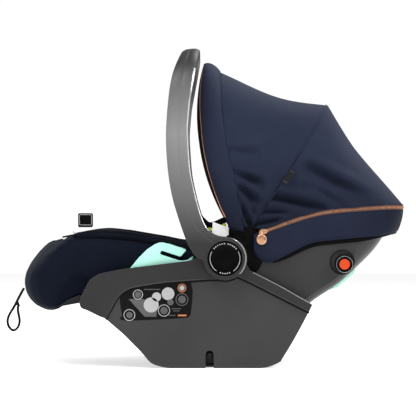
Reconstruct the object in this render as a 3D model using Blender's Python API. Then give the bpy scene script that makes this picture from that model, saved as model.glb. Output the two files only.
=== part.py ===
"""Infant car seat with carry handle, folding hood, reclining back and leg rest.

Frame: +X runs from the feet to the head, +Z is up, and Y = 0 is the centre plane.
The origin is on the flat sole of the base. "left" is the child's left, at -Y.
Rest pose: handle up, hood open, back reclined and leg rest raised.
"""
import math

import bmesh
import bpy
from mathutils import Matrix, Vector

for old in list(bpy.data.objects):
    bpy.data.objects.remove(old, do_unlink=True)

# ---------------------------------------------------------------- driving dimensions (metres)
HUB = (0.0315, 0.205)            # handle and recline axis, X and Z
HUB_RADIUS = 0.0408
HOOD_PIVOT = (0.065, 0.248)      # axis of the hood bows
KNEE = (-0.150, 0.120)           # axis of the leg rest
POD_CENTRE = (0.2547, 0.1937)    # side-impact pod axis
POD_DISH = (0.2512, 0.1974)      # centre of the shallow dish round the pod

GAP = 0.0005                     # clearance between neighbouring pieces
TUB_HALF = 0.194                 # outer face of the base's side panels
TUB_WALL = 0.005
BAND_HALF = 0.2005               # outer face of the raised side bands
HANDLE_IN = 0.2025
ARM_OUT = 0.2195
HUB_OUT = 0.2225
SHELL_HALF = 0.1805              # outer face of the back shell
SHELL_WALL = 0.004
COVER_HALF = 0.177               # outer face of the seat and leg rest covers
CHILD_HALF = 0.112               # half the width of the space for the child
SKIRT_HALF = 0.1895
HOOD_HALF = 0.184

SIDES = (("left", -1), ("right", 1))

# ---------------------------------------------------------------- materials
PALETTE = {
    "grey_plastic": ((0.060, 0.060, 0.061), 0.45, 0.0),
    "black_plastic": ((0.006, 0.006, 0.007), 0.35, 0.0),
    "handle_satin": ((0.22, 0.22, 0.22), 0.35, 0.6),
    "grip_rubber": ((0.05, 0.05, 0.05), 0.6, 0.0),
    "navy_fabric": ((0.012, 0.016, 0.038), 0.7, 0.0),
    "liner_fabric": ((0.008, 0.010, 0.018), 0.8, 0.0),
    "mint_plastic": ((0.46, 0.85, 0.74), 0.35, 0.0),
    "copper": ((0.75, 0.42, 0.27), 0.3, 0.9),
    "orange_plastic": ((0.80, 0.12, 0.03), 0.4, 0.0),
    "red_plastic": ((0.65, 0.02, 0.02), 0.4, 0.0),
    "steel": ((0.55, 0.55, 0.56), 0.3, 1.0),
    "foam": ((0.80, 0.80, 0.80), 0.9, 0.0),
    "webbing": ((0.010, 0.010, 0.011), 0.8, 0.0),
    "white_label": ((0.85, 0.85, 0.85), 0.7, 0.0),
}


def material(name):
    """The Principled material of a palette entry, made once."""
    found = bpy.data.materials.get(name)
    if found:
        return found
    colour, roughness, metallic = PALETTE[name]
    made = bpy.data.materials.new(name)
    made.use_nodes = True
    shader = made.node_tree.nodes["Principled BSDF"]
    shader.inputs["Base Color"].default_value = (*colour, 1.0)
    shader.inputs["Roughness"].default_value = roughness
    shader.inputs["Metallic"].default_value = metallic
    return made


# ---------------------------------------------------------------- mesh helpers
def mesh_object(name, points, faces, slot, sharp_deg=35.0):
    mesh = bpy.data.meshes.new(name)
    mesh.from_pydata([tuple(p) for p in points], [], faces)
    bm = bmesh.new()
    bm.from_mesh(mesh)
    bmesh.ops.recalc_face_normals(bm, faces=bm.faces)
    if bm.calc_volume(signed=True) < 0:
        bmesh.ops.reverse_faces(bm, faces=bm.faces)
    bm.to_mesh(mesh)
    bm.free()
    mesh.shade_smooth()
    mesh.set_sharp_from_angle(angle=math.radians(sharp_deg))
    mesh.materials.append(material(slot))
    obj = bpy.data.objects.new(name, mesh)
    bpy.context.scene.collection.objects.link(obj)
    return obj


def loft(name, loops, slot, closed=False):
    """A skin over loops with equal point counts, capped at both ends unless it closes on itself."""
    count = len(loops[0])
    points = [p for loop in loops for p in loop]
    faces = []
    last = len(loops) if closed else len(loops) - 1
    for i in range(last):
        a, b = i * count, ((i + 1) % len(loops)) * count
        for j in range(count):
            k = (j + 1) % count
            faces.append((a + j, a + k, b + k, b + j))
    if not closed:
        faces.append(tuple(range(count)))
        faces.append(tuple((len(loops) - 1) * count + j for j in reversed(range(count))))
    return mesh_object(name, points, faces, slot)


def prism(name, outline, y0, y1, slot):
    """An XZ outline extruded from y0 to y1."""
    return loft(name, [[(x, y, z) for x, z in outline] for y in (y0, y1)], slot)


def grid_shell(name, outer, inner, slot):
    """The closed solid between two open grids of points."""
    rows, cols = len(outer), len(outer[0])
    points = [p for row in outer for p in row] + [p for row in inner for p in row]
    base = rows * cols

    def at(i, j, side):
        return side * base + i * cols + j

    faces = []
    for i in range(rows - 1):
        for j in range(cols - 1):
            faces.append((at(i, j, 0), at(i, j + 1, 0), at(i + 1, j + 1, 0), at(i + 1, j, 0)))
            faces.append((at(i, j, 1), at(i + 1, j, 1), at(i + 1, j + 1, 1), at(i, j + 1, 1)))
    for i in range(rows - 1):
        for j in (0, cols - 1):
            faces.append((at(i, j, 0), at(i + 1, j, 0), at(i + 1, j, 1), at(i, j, 1)))
    for j in range(cols - 1):
        for i in (0, rows - 1):
            faces.append((at(i, j, 0), at(i, j + 1, 0), at(i, j + 1, 1), at(i, j, 1)))
    return mesh_object(name, points, faces, slot)


def disc(name, centre, radius, y0, y1, slot, steps=24):
    """A round bar along Y."""
    turn = [math.tau * i / steps for i in range(steps)]
    outline = [(centre[0] + radius * math.cos(a), centre[1] + radius * math.sin(a)) for a in turn]
    return prism(name, outline, y0, y1, slot)


def turned(name, centre, profile, slot, steps=24):
    """A closed ring or plug turned about the Y axis through centre. profile holds (radius, y)."""
    loops = []
    for i in range(steps):
        a = math.tau * i / steps
        loops.append([(centre[0] + r * math.cos(a), y, centre[1] + r * math.sin(a)) for r, y in profile])
    return loft(name, loops, slot, closed=True)


def boolean(target, cutter, operation="DIFFERENCE"):
    """Keeps a live Boolean on target. The cutter stays in the scene as a helper."""
    cutter.hide_render = True
    cutter.display_type = "WIRE"
    step = target.modifiers.new(cutter.name, "BOOLEAN")
    step.operation = operation
    step.object = cutter
    step.solver = "EXACT"
    return target


def bevel(obj, width, segments=2, angle_deg=40.0):
    step = obj.modifiers.new("edge", "BEVEL")
    step.width = width
    step.segments = segments
    step.limit_method = "ANGLE"
    step.angle_limit = math.radians(angle_deg)
    return obj


def tube(name, path, radius, slot, resolution=2):
    """A round cord through the given points."""
    curve = bpy.data.curves.new(name, "CURVE")
    curve.dimensions = "3D"
    curve.bevel_depth = radius
    curve.bevel_resolution = resolution
    curve.use_fill_caps = True
    spline = curve.splines.new("POLY")
    spline.points.add(len(path) - 1)
    for point, place in zip(spline.points, path):
        point.co = (*place, 1.0)
    curve.materials.append(material(slot))
    obj = bpy.data.objects.new(name, curve)
    bpy.context.scene.collection.objects.link(obj)
    return obj


# ---------------------------------------------------------------- outline helpers
def arc(centre, radius, start_deg, end_deg, steps):
    span = [math.radians(start_deg + (end_deg - start_deg) * i / steps) for i in range(steps + 1)]
    return [(centre[0] + radius * math.cos(a), centre[1] + radius * math.sin(a)) for a in span]


def bezier(p0, p1, p2, p3, t):
    s = 1.0 - t
    weights = (s * s * s, 3 * s * s * t, 3 * s * t * t, t * t * t)
    return tuple(sum(w * p[k] for w, p in zip(weights, (p0, p1, p2, p3))) for k in range(len(p0)))


def inset(outline, depth):
    """The outline moved inwards, for one that runs anticlockwise with X right and Z up."""
    moved = []
    for i, (x, z) in enumerate(outline):
        (ax, az), (bx, bz) = outline[i - 1], outline[(i + 1) % len(outline)]
        d1 = Vector((x - ax, z - az)).normalized()
        d2 = Vector((bx - x, bz - z)).normalized()
        normal = Vector((-d1.y - d2.y, d1.x + d2.x))
        scale = depth / max(0.35, normal.length_squared / 2)
        moved.append((x + normal.x * scale, z + normal.y * scale))
    return moved


def smooth_path(knots, steps):
    """Catmull-Rom through the knots, which may have any number of coordinates."""
    ends = [knots[0], *knots, knots[-1]]
    path = []
    for i in range(1, len(ends) - 2):
        a, b, c, d = ends[i - 1:i + 3]
        for k in range(steps):
            t = k / steps
            path.append(tuple(
                0.5 * (2 * b[n] + (c[n] - a[n]) * t + (2 * a[n] - 5 * b[n] + 4 * c[n] - d[n]) * t * t
                       + (3 * b[n] - a[n] - 3 * c[n] + d[n]) * t ** 3)
                for n in range(len(b))))
    path.append(tuple(knots[-1]))
    return path


# ---------------------------------------------------------------- base: tub, bands and belt guides
TUB_SOLE = [(-0.2225, 0.108), (-0.1936, 0.0938), (-0.1586, 0.0638), (-0.125, 0.0302),
            (-0.1063, 0.0096), (-0.085, 0.002), (-0.070, 0.0), (0.095, 0.0), (0.112, 0.002),
            (0.1325, 0.0105), (0.1395, 0.019), (0.1603, 0.0526), (0.1845, 0.0973)]
TUB_TOP = [(0.1925, 0.117), (0.0772, 0.1772), (0.066, 0.186),
           *arc(HUB, 0.034, -20, 175, 8), (-0.0392, 0.198), (-0.1455, 0.1849),
           (-0.2068, 0.1728), (-0.2229, 0.161), (-0.2385, 0.132), (-0.2385, 0.122)]
FRONT_OPENING = -0.185           # the tub has no front wall ahead of this, so the leg rest can drop
REAR_LIP = 0.098                 # the rear wall's top edge between the side panels
SLOT_X = (-0.0045, 0.0104)       # latch slot across the sole
SLOT_TOP = 0.033


def base_tub():
    tub = prism("base_tub", TUB_SOLE + TUB_TOP, -TUB_HALF, TUB_HALF, "grey_plastic")
    floor = inset(TUB_SOLE + TUB_TOP, TUB_WALL)[1:len(TUB_SOLE)]
    top = 0.30
    inside = [*floor, (0.30, REAR_LIP), (0.30, top), (-0.30, top), (-0.30, 0.128), (FRONT_OPENING, 0.128)]
    half = TUB_HALF - TUB_WALL
    boolean(tub, prism("tub_cavity", inside, -half, half, "grey_plastic"))
    mouth = [(FRONT_OPENING, 0.0), (FRONT_OPENING, top), (-0.30, top), (-0.30, 0.0)]
    boolean(tub, prism("tub_mouth", mouth, -half, half, "grey_plastic"))
    corner = (SLOT_X[1] - SLOT_X[0]) / 2
    middle = (SLOT_X[0] + SLOT_X[1]) / 2
    slot = [(SLOT_X[0], -0.01), (SLOT_X[1], -0.01), *arc((middle, SLOT_TOP - corner), corner, 0, 180, 6)]
    for side, sign in SIDES:
        y0, y1 = sorted((sign * 0.165, sign * 0.21))
        boolean(tub, prism(f"slot_cut_{side}", slot, y0, y1, "grey_plastic"))


# The band follows the top of the arm, passes round the hub and runs down the rear edge.
BAND = [(-0.2401, 0.124), (-0.2365, 0.113), (-0.2239, 0.1075), (-0.2015, 0.0965), (-0.1903, 0.093),
        (-0.1815, 0.1104), (-0.1666, 0.1346), (-0.1487, 0.1477), (-0.125, 0.1535), (-0.0714, 0.161),
        (0.002, 0.1665), *arc(HUB, 0.0400, -105, -55, 5), (0.078, 0.1615), (0.1885, 0.1055),
        (0.1945, 0.1185), (0.1340, 0.1540), (0.0785, 0.1825), *arc(HUB, 0.0385, -10, 170, 12),
        (-0.0284, 0.2040), (-0.0392, 0.2000), (-0.1455, 0.1869), (-0.195, 0.1780), (-0.2078, 0.1735),
        (-0.2175, 0.1675), (-0.2239, 0.1600)]


def side_bands():
    for side, sign in SIDES:
        y0, y1 = sorted((sign * (TUB_HALF + GAP), sign * BAND_HALF))
        bevel(prism(f"side_band_{side}", BAND, y0, y1, "grey_plastic"), 0.0012, 2, 30)


GUIDE_SLOT_START = (-0.0855, 0.2150)  # centre of the belt slot's closed end
GUIDE_SLOT_DEG = -18.4
GUIDE_SLOT_HALF = 0.0037


def belt_guides():
    slope = math.radians(GUIDE_SLOT_DEG)
    along = Vector((math.cos(slope), math.sin(slope)))
    across = Vector((-along.y, along.x))
    start = Vector(GUIDE_SLOT_START)
    upper = start + across * GUIDE_SLOT_HALF
    lower = start - across * GUIDE_SLOT_HALF
    slot_end = arc(GUIDE_SLOT_START, GUIDE_SLOT_HALF, GUIDE_SLOT_DEG + 90, GUIDE_SLOT_DEG + 270, 6)
    reach_up, reach_low = 0.0345, 0.034
    outline = [(-0.150, 0.1780), (-0.030, 0.1960), (-0.0275, 0.2090), (-0.0390, 0.2012),
               (-0.0480, 0.2005), tuple(lower + along * reach_low), *reversed(slot_end),
               tuple(upper + along * reach_up), (-0.0405, 0.2195), (-0.0425, 0.2222),
               (-0.0720, 0.2318), (-0.0849, 0.2345), (-0.0930, 0.2338), (-0.1010, 0.2300),
               (-0.1146, 0.2208), (-0.1313, 0.2040), (-0.1450, 0.1868)]
    for side, sign in SIDES:
        y0, y1 = sorted((sign * (COVER_HALF + GAP), sign * (TUB_HALF - TUB_WALL - GAP)))
        bevel(prism(f"lap_belt_guide_{side}", outline, y0, y1, "mint_plastic"), 0.001, 1, 30)


def latch_parts():
    centre = ((SLOT_X[0] + SLOT_X[1]) / 2, 0.0235)
    disc("latch_bar", centre, 0.004, -0.186, 0.186, "steel", 12)
    for side, sign in SIDES:
        x, z = centre
        foot = TUB_WALL + GAP
        block = [(x - 0.020, foot), (x + 0.020, foot), (x + 0.016, 0.045), (x - 0.016, 0.045)]
        y0, y1 = sorted((sign * 0.140, sign * 0.158))
        bracket = prism(f"latch_bracket_{side}", block, y0, y1, "black_plastic")
        hole = disc(f"bracket_hole_{side}", centre, 0.0044, y0 - 0.01, y1 + 0.01, "black_plastic", 12)
        boolean(bracket, hole)


LABEL = [(-0.160, 0.098), (-0.155, 0.089), (-0.048, 0.0935), (-0.036, 0.097), (-0.0315, 0.106),
         (-0.0315, 0.159), (-0.0714, 0.1585), (-0.124, 0.1512), (-0.1470, 0.1452), (-0.1640, 0.1330)]


def label_plates():
    for side, sign in SIDES:
        y0, y1 = sorted((sign * (TUB_HALF + 0.0003), sign * (TUB_HALF + 0.0010)))
        prism(f"label_plate_{side}", LABEL, y0, y1, "black_plastic")


def pivot_bosses():
    for side, sign in SIDES:
        flange, pin = sign * (BAND_HALF + 0.0003), sign * 0.2019
        bore, head = 0.0035, sign * 0.2085
        profile = [(bore, flange), (0.0230, flange), (0.0230, pin),
                   (0.0100, pin), (0.0100, head), (bore, head)]
        turned(f"pivot_boss_{side}", HUB, profile, "black_plastic", 24)


# ---------------------------------------------------------------- seat, fixed to the base
SEAT_FRONT, SEAT_REAR = -0.1500, 0.0060
PAN_LINE = [(-0.168, 0.1090), (-0.140, 0.1000), (-0.080, 0.0850), (0.008, 0.0700)]
PAN_WALL = 0.004
FOAM_OUT, FOAM_IN = 0.160, 0.128


def pan_height(x):
    """The top of the seat pan at x."""
    for (x0, z0), (x1, z1) in zip(PAN_LINE, PAN_LINE[1:]):
        if x <= x1:
            return z0 + (z1 - z0) * (x - x0) / (x1 - x0)
    return PAN_LINE[-1][1]


def seat_parts():
    under = [(x, z - PAN_WALL) for x, z in PAN_LINE]
    prism("seat_pan", [*under, *reversed(PAN_LINE)], -0.186, 0.186, "black_plastic")

    stations = [SEAT_FRONT, -0.110, -0.080, -0.040, SEAT_REAR]
    bottom = [(x, pan_height(x) + GAP) for x in stations]
    floor = [(x, pan_height(x) + 0.016) for x in stations]
    foam_top = [(SEAT_REAR, 0.188), (-0.060, 0.196), (SEAT_FRONT, 0.210)]
    foam = prism("seat_foam", [*bottom, *foam_top], -FOAM_OUT, FOAM_OUT, "foam")
    well = [(SEAT_FRONT - 0.02, floor[0][1]), *floor, (SEAT_REAR + 0.02, floor[-1][1]),
            (SEAT_REAR + 0.02, 0.30), (SEAT_FRONT - 0.02, 0.30)]
    boolean(foam, prism("seat_foam_well", well, -FOAM_IN, FOAM_IN, "foam"))

    # The padded cover sits over the foam's rims and lines its well.
    rim = [(SEAT_REAR, 0.2330), (-0.0450, 0.2420), (-0.0800, 0.2500), (-0.1070, 0.2545), (SEAT_FRONT, 0.2620)]
    low = [(SEAT_FRONT, 0.1260), (SEAT_REAR, 0.1080)]
    cover = prism("seat_cover", [*low, *rim], -COVER_HALF, COVER_HALF, "liner_fabric")
    bed = [(x, pan_height(x) + 0.052) for x in stations]
    space = [(SEAT_FRONT - 0.02, bed[0][1]), *bed, (SEAT_REAR + 0.02, bed[-1][1]),
             (SEAT_REAR + 0.02, 0.30), (SEAT_FRONT - 0.02, 0.30)]
    boolean(cover, prism("seat_space", space, -CHILD_HALF, CHILD_HALF, "liner_fabric"))
    for side, sign in SIDES:
        wall = [(SEAT_FRONT - 0.01, 0.05), (SEAT_REAR + 0.01, 0.05), (SEAT_REAR + 0.01, 0.1885 + GAP),
                (-0.060, 0.1965 + GAP), (SEAT_FRONT - 0.01, 0.2120 + GAP)]
        y0, y1 = sorted((sign * (FOAM_IN - GAP), sign * (FOAM_OUT + GAP)))
        boolean(cover, prism(f"foam_room_{side}", wall, y0, y1, "liner_fabric"))


# ---------------------------------------------------------------- leg rest
LEG_REAR = -0.1545
LEG_COVER = [(LEG_REAR, 0.1265), (-0.2516, 0.1270), (-0.2750, 0.1170), (-0.2890, 0.1080),
             (-0.2987, 0.1045), (-0.3136, 0.1030), (-0.3335, 0.1067), (-0.3470, 0.1185),
             (-0.3565, 0.1377), (-0.3608, 0.1580), (-0.3580, 0.1740), (-0.3470, 0.1900),
             (-0.3257, 0.2168), (-0.3062, 0.2345), (-0.2925, 0.2403), (-0.2750, 0.2510),
             (-0.2535, 0.2605), (-0.2240, 0.2647), (-0.1950, 0.2655), (LEG_REAR, 0.2630)]
NOSE_STATIONS = ((0.000, 0.000), (0.070, 0.002), (0.115, 0.008),
                 (0.145, 0.019), (0.165, 0.036), (COVER_HALF, 0.062))


def leg_rest_cover():
    """Sections across Y, with the nose drawn back towards the sides."""
    stations = [(-y, d) for y, d in reversed(NOSE_STATIONS[1:])] + list(NOSE_STATIONS)
    nose = min(x for x, z in LEG_COVER)
    loops = []
    for y, drawn in stations:
        loop = []
        for x, z in LEG_COVER:
            share = ((LEG_REAR - x) / (LEG_REAR - nose)) ** 2
            loop.append((x + drawn * share, y, z))
        loops.append(loop)
    cover = loft("leg_rest_cover", loops, "navy_fabric")
    space = [(-0.3050, 0.2180), (-0.2700, 0.1830), (-0.2200, 0.1680), (-0.1300, 0.1560),
             (-0.1300, 0.3200), (-0.3050, 0.3200)]
    boolean(cover, prism("leg_space", space, -CHILD_HALF, CHILD_HALF, "navy_fabric"))


def leg_rest_pan():
    top = [(-0.160, 0.1240), (-0.2400, 0.1238), (-0.2600, 0.1150)]
    under = [(-0.2680, 0.1080), (-0.2500, 0.1120), (-0.2050, 0.1150), (-0.160, 0.1180)]
    prism("leg_rest_pan", [*under, *top], -0.150, 0.150, "grey_plastic")


def rim_tag():
    bevel(prism("rim_tag", [(-0.2450, 0.2665), (-0.2170, 0.2665), (-0.2170, 0.2890), (-0.2450, 0.2890)],
                -0.1480, -0.1466, "webbing"), 0.0005, 1)


LOOP_KNOTS = [(-0.3590, 0.1425), (-0.3647, 0.1320), (-0.3700, 0.1220), (-0.3745, 0.1130),
              (-0.3800, 0.1030), (-0.3860, 0.0935), (-0.3905, 0.0820), (-0.3900, 0.0720),
              (-0.3855, 0.0640), (-0.3795, 0.0605), (-0.3725, 0.0640), (-0.3682, 0.0725),
              (-0.3675, 0.0820), (-0.3697, 0.0935), (-0.3708, 0.1040), (-0.3685, 0.1105)]


def pull_loop():
    """Harness pull: a cord out of the nose that ends in a drop-shaped loop."""
    path = [(x, 0.0, z) for x, z in smooth_path(LOOP_KNOTS, 3)]
    tube("pull_loop", path, 0.0018, "webbing")


# ---------------------------------------------------------------- carry handle
# Edge lines of the arm seen from the side, from the foot of the hub to the top corner.
FRONT_EDGE = [*arc(HUB, HUB_RADIUS, -100, -172, 5), (-0.0220, 0.2060), (-0.0300, 0.2180), (-0.0395, 0.2360),
              (-0.0539, 0.2765), (-0.0669, 0.3211), (-0.0743, 0.3657), (-0.0778, 0.4103), (-0.0781, 0.4438),
              (-0.0762, 0.4772), (-0.0735, 0.5050)]
REAR_EDGE = [*arc(HUB, HUB_RADIUS, -80, 60, 8), (0.0210, 0.2445), (0.0067, 0.2520), (-0.0050, 0.2640),
             (-0.0130, 0.2876), (-0.0223, 0.3211), (-0.0316, 0.3657), (-0.0353, 0.4103), (-0.0368, 0.4438),
             (-0.0350, 0.4720), (-0.0325, 0.4990)]
TOP_CENTRE = (-0.0325, 0.5975)   # middle of the grip's cross-section at the centre plane
GRIP_THICK = 0.020
GRIP_WIDE = 0.0345
GRIP_LEAN = (0.997, 0.0, 0.080)       # across the grip, front to rear
CORNER_Y = 0.100                      # where the grip starts to turn down into an arm
GRIP_BULGE = 0.0045                   # extra width at the front of each corner


def resample(line, count):
    """The same polyline with count points evenly spaced along it."""
    lengths = [0.0]
    for a, b in zip(line, line[1:]):
        lengths.append(lengths[-1] + math.dist(a, b))
    made = []
    k = 0
    for i in range(count):
        want = lengths[-1] * i / (count - 1)
        while k < len(line) - 2 and lengths[k + 1] < want:
            k += 1
        t = (want - lengths[k]) / (lengths[k + 1] - lengths[k])
        made.append(tuple(p + (q - p) * t for p, q in zip(line[k], line[k + 1])))
    return made


def arm_sections(sign, count=16):
    """Cross-sections of one arm, from the foot of the hub to the top corner."""
    front = FRONT_EDGE
    rear = REAR_EDGE
    loops = []
    for i, (f, r) in enumerate(zip(resample(front, count), resample(rear, count))):
        height = i / (count - 1)
        outer = HUB_OUT + (ARM_OUT - HUB_OUT) * min(1.0, max(0.0, (height - 0.25) / 0.2))
        loops.append(section(Vector((f[0], 0, f[1])), Vector((r[0], 0, r[1])), HANDLE_IN, outer, sign))
    return loops


def section(front, rear, inner, outer, sign):
    """Eight points round a strip between its front and rear edges, thick along Y."""
    wide = rear - front
    chamfer = min(0.18, 0.004 / max(wide.length, 1e-6))
    middle = (front + rear) / 2
    ridge = 0.0012
    ring = [(front + wide * chamfer, inner), (rear - wide * chamfer, inner), (rear, inner + 0.003),
            (rear, outer - 0.004), (rear - wide * chamfer, outer - 0.0008), (middle, outer + ridge - 0.0008),
            (front + wide * chamfer, outer - 0.0008), (front, outer - 0.004), (front, inner + 0.003)]
    return [(p.x, sign * y, p.z) for p, y in ring]


def grip_sections(sign, steps=6):
    """From the top of an arm round the corner to the centre plane."""
    f, r = Vector((FRONT_EDGE[-1][0], 0, FRONT_EDGE[-1][1])), Vector((REAR_EDGE[-1][0], 0, REAR_EDGE[-1][1]))
    start, wide0 = (f + r) / 2, (r - f)
    top = Vector((TOP_CENTRE[0], 0, TOP_CENTRE[1]))
    wide1 = Vector(GRIP_LEAN).normalized() * GRIP_WIDE
    y_start = (HANDLE_IN + ARM_OUT) / 2
    loops = []
    for i in range(1, steps + 1):
        a = math.radians(90 * i / steps)
        y = CORNER_Y + (y_start - CORNER_Y) * math.cos(a)
        share = math.sin(a) ** 0.9
        centre = start.lerp(top - Vector((0, 0, 0.006)), share)
        wide = wide0.lerp(wide1, share)
        bulge = GRIP_BULGE * math.sin(math.pi * share)
        centre.x -= bulge / 2
        wide *= 1 + bulge / wide.length
        thick = (ARM_OUT - HANDLE_IN) * (1 - share) + GRIP_THICK * share
        out = Vector((0, math.cos(a), math.sin(a)))
        loops.append(turned_section(centre, wide, out, thick, y, sign))
    for y, lift in ((0.055, -0.002), (0.0, 0.0)):
        centre = top + Vector((0, 0, lift))
        loops.append(turned_section(centre, wide1, Vector((0, 0, 1)), GRIP_THICK, y, sign))
    return loops


def turned_section(centre, wide, out, thick, y, sign):
    """The same nine points, with the thickness along out."""
    half = wide / 2
    ring = [(-0.82, -0.5), (0.82, -0.5), (1.0, -0.30), (1.0, 0.24), (0.82, 0.46), (0.0, 0.5),
            (-0.82, 0.46), (-1.0, 0.24), (-1.0, -0.30)]
    made = []
    for u, v in ring:
        p = centre + half * u + out * (thick * v)
        made.append((p.x, sign * (y + p.y), p.z))
    return made


def handle():
    left = arm_sections(-1) + grip_sections(-1)
    right = arm_sections(1) + grip_sections(1)[:-1]
    frame = loft("handle_frame", left + right[::-1], "handle_satin")
    for side, sign in SIDES:
        y0, y1 = sorted((sign * 0.2095, sign * 0.24))
        boolean(frame, disc(f"button_pocket_{side}", HUB, 0.0328, y0, y1, "handle_satin", 32))
        y0, y1 = sorted((sign * 0.19, sign * 0.22))
        boolean(frame, disc(f"pivot_bore_{side}", HUB, 0.0105, y0, y1, "handle_satin", 24))
        face, dome, back = sign * 0.2230, sign * 0.2236, sign * 0.2145
        profile = [(0.0105, back), (0.0320, back), (0.0320, sign * 0.2222), (0.0310, face), (0.0105, dome)]
        cap = turned(f"handle_button_{side}", HUB, profile, "black_plastic", 32)
        plug = disc(f"button_core_{side}", HUB, 0.0115, *sorted((sign * 0.2160, dome)), "black_plastic", 32)
        boolean(cap, plug, "UNION")
        turns, radius = 2.25, 0.0160
        coil = []
        for i in range(int(turns * 12) + 1):
            a = math.tau * i / 12
            y = 0.2105 + 0.0031 * i / (turns * 12)
            coil.append((HUB[0] + radius * math.cos(a), sign * y, HUB[1] + radius * math.sin(a)))
        tube(f"button_spring_{side}", coil, 0.0005, "steel", 0)


def grip_pad():
    """Soft strip under the middle of the grip."""
    top = Vector((TOP_CENTRE[0], 0, TOP_CENTRE[1]))
    wide = Vector(GRIP_LEAN).normalized()
    loops = []
    for y in (-0.062, -0.055, 0.0, 0.055, 0.062):
        lift = -0.002 * min(1.0, abs(y) / 0.055)
        half = 0.0120 if abs(y) < 0.06 else 0.0090
        low = top + Vector((0, 0, lift - GRIP_THICK / 2 - 0.0030))
        under = low - Vector((0, 0, 0.0022))
        corners = [low - wide * half, low + wide * half, under + wide * half * 0.8, under - wide * half * 0.8]
        loops.append([(p.x, y, p.z) for p in corners])
    loft("grip_pad", loops, "grip_rubber")


# ---------------------------------------------------------------- reclining back
BACK_LINE = [(0.0220, 0.0750), (0.0600, 0.0560), (0.1000, 0.0580), (0.1400, 0.0740), (0.1700, 0.0985),
             (0.2000, 0.1250), (0.2437, 0.1540), (0.2715, 0.1780), (0.3180, 0.2200), (0.3500, 0.2640)]
BACK_RIM = [(0.3500, 0.2860), (0.2898, 0.2850), (0.2326, 0.2820), (0.1900, 0.2750), (0.1300, 0.2600),
            (0.0850, 0.2600), *arc(HOOD_PIVOT, 0.0110, 60, 160, 4), (0.0480, 0.2300), (0.0400, 0.2150),
            (0.0220, 0.1900)]
SHELL_STATIONS = ((0.0, 0.0), (0.140, 0.0), (0.160, 0.002), (0.173, 0.006), (SHELL_HALF, 0.013))
HEAD_PULL = (0.0, 0.008, 0.020, 0.040, 0.066)   # how far the head end rounds forward at each station


def rounded_back(name, half, stations, line, rim, slot):
    """A block whose back and underside round into its sides. line runs along the back, rim along the top."""
    outline = [*line, *rim]
    pulls = [*reversed(HEAD_PULL[1:]), *HEAD_PULL]
    rows = [(-y, d) for y, d in reversed(stations[1:])] + list(stations)
    loops = []
    for (y, drawn), pull in zip(rows, pulls):
        drawn_in = inset(outline, drawn) if drawn > 0 else outline
        loop = []
        for i, place in enumerate(drawn_in):
            keep = place if i < len(line) - 1 and i > 0 else outline[i]
            x = keep[0] - pull * max(0.0, (keep[0] - 0.27) / 0.08)
            loop.append((x, y * half / stations[-1][0], keep[1]))
        loops.append(loop)
    return loft(name, loops, slot)


def rear_shell():
    shell = rounded_back("rear_shell", SHELL_HALF, SHELL_STATIONS, BACK_LINE, BACK_RIM, "grey_plastic")
    inner_line = inset([*BACK_LINE, (0.40, 0.42), (0.0, 0.42)], SHELL_WALL)[:len(BACK_LINE)]
    inner_line[0] = (0.0, inner_line[0][1])
    inner_line[-1] = (inner_line[-1][0] + 0.006, inner_line[-1][1] + 0.03)
    cavity = rounded_back("rear_cavity", SHELL_HALF - SHELL_WALL, SHELL_STATIONS,
                          inner_line, [(0.36, 0.40), (0.0, 0.40)], "grey_plastic")
    boolean(shell, cavity)
    for side, sign in SIDES:
        y0, y1 = sorted((sign * 0.132, sign * 0.20))
        boolean(shell, disc(f"pod_window_{side}", POD_CENTRE, 0.0192, y0, y1, "grey_plastic", 24))
        y0, y1 = sorted((sign * 0.1785, sign * 0.20))
        boolean(shell, disc(f"pod_dish_{side}", POD_DISH, 0.0229, y0, y1, "grey_plastic", 32))
    boolean(shell, lever_block("lever_window", 0.0480, 0.0, 0.030, 0.0010))
    return shell


def along_back(t):
    """A point and the outward direction on the straight upper stretch of the back."""
    low, high = Vector(BACK_LINE[7]), Vector(BACK_LINE[8])
    run = (high - low).normalized()
    return low.lerp(high, t), run, Vector((run.y, -run.x))


def lever_block(name, half, out, depth, grow, slot="black_plastic"):
    """A panel set in the back between two heights. It reaches depth below the surface."""
    a, run, outward = along_back(0.52)
    b = along_back(0.97)[0]
    a, b = a - run * grow, b + run * grow
    corners = [a + outward * (out + (0.01 if grow else 0)), b + outward * (out + (0.01 if grow else 0)),
               b - outward * depth, a - outward * depth]
    return prism(name, [(c.x, c.y) for c in corners], -half - grow, half + grow, slot)


def release_lever():
    lever_block("release_lever", 0.0470, -0.0002, 0.0036, 0.0)


def back_foam():
    outer = inset([*BACK_LINE, (0.40, 0.42), (0.0, 0.42)], SHELL_WALL + 0.002)[:len(BACK_LINE)]
    outer[0] = (0.0240, outer[0][1])
    outer[-1] = (0.3300, 0.2690)
    rim = [(0.3240, 0.2750), (0.2326, 0.2680), (0.1500, 0.2500),
           (0.0900, 0.2250), (0.0420, 0.2050), (0.0240, 0.1800)]
    foam_half = 0.163
    stations = tuple((y * foam_half / SHELL_HALF, d) for y, d in SHELL_STATIONS)
    foam = rounded_back("back_foam", foam_half, stations, outer, rim, "foam")
    line = inset([*BACK_LINE, (0.40, 0.42), (0.0, 0.42)], 0.024)[:len(BACK_LINE)]
    line[0] = (0.0, line[0][1])
    well = [*line[:-1], (0.3220, 0.2600), (0.3220, 0.40), (0.0, 0.40)]
    boolean(foam, prism("back_foam_well", well, -0.140, 0.140, "foam"))
    for side, sign in SIDES:
        y0, y1 = sorted((sign * 0.130, sign * 0.18))
        boolean(foam, disc(f"foam_pod_hole_{side}", POD_CENTRE, 0.0195, y0, y1, "foam", 16))
    boolean(foam, lever_block("lever_recess", 0.0500, 0.0, 0.0120, 0.002))


BACK_FRONT = 0.0260


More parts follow.
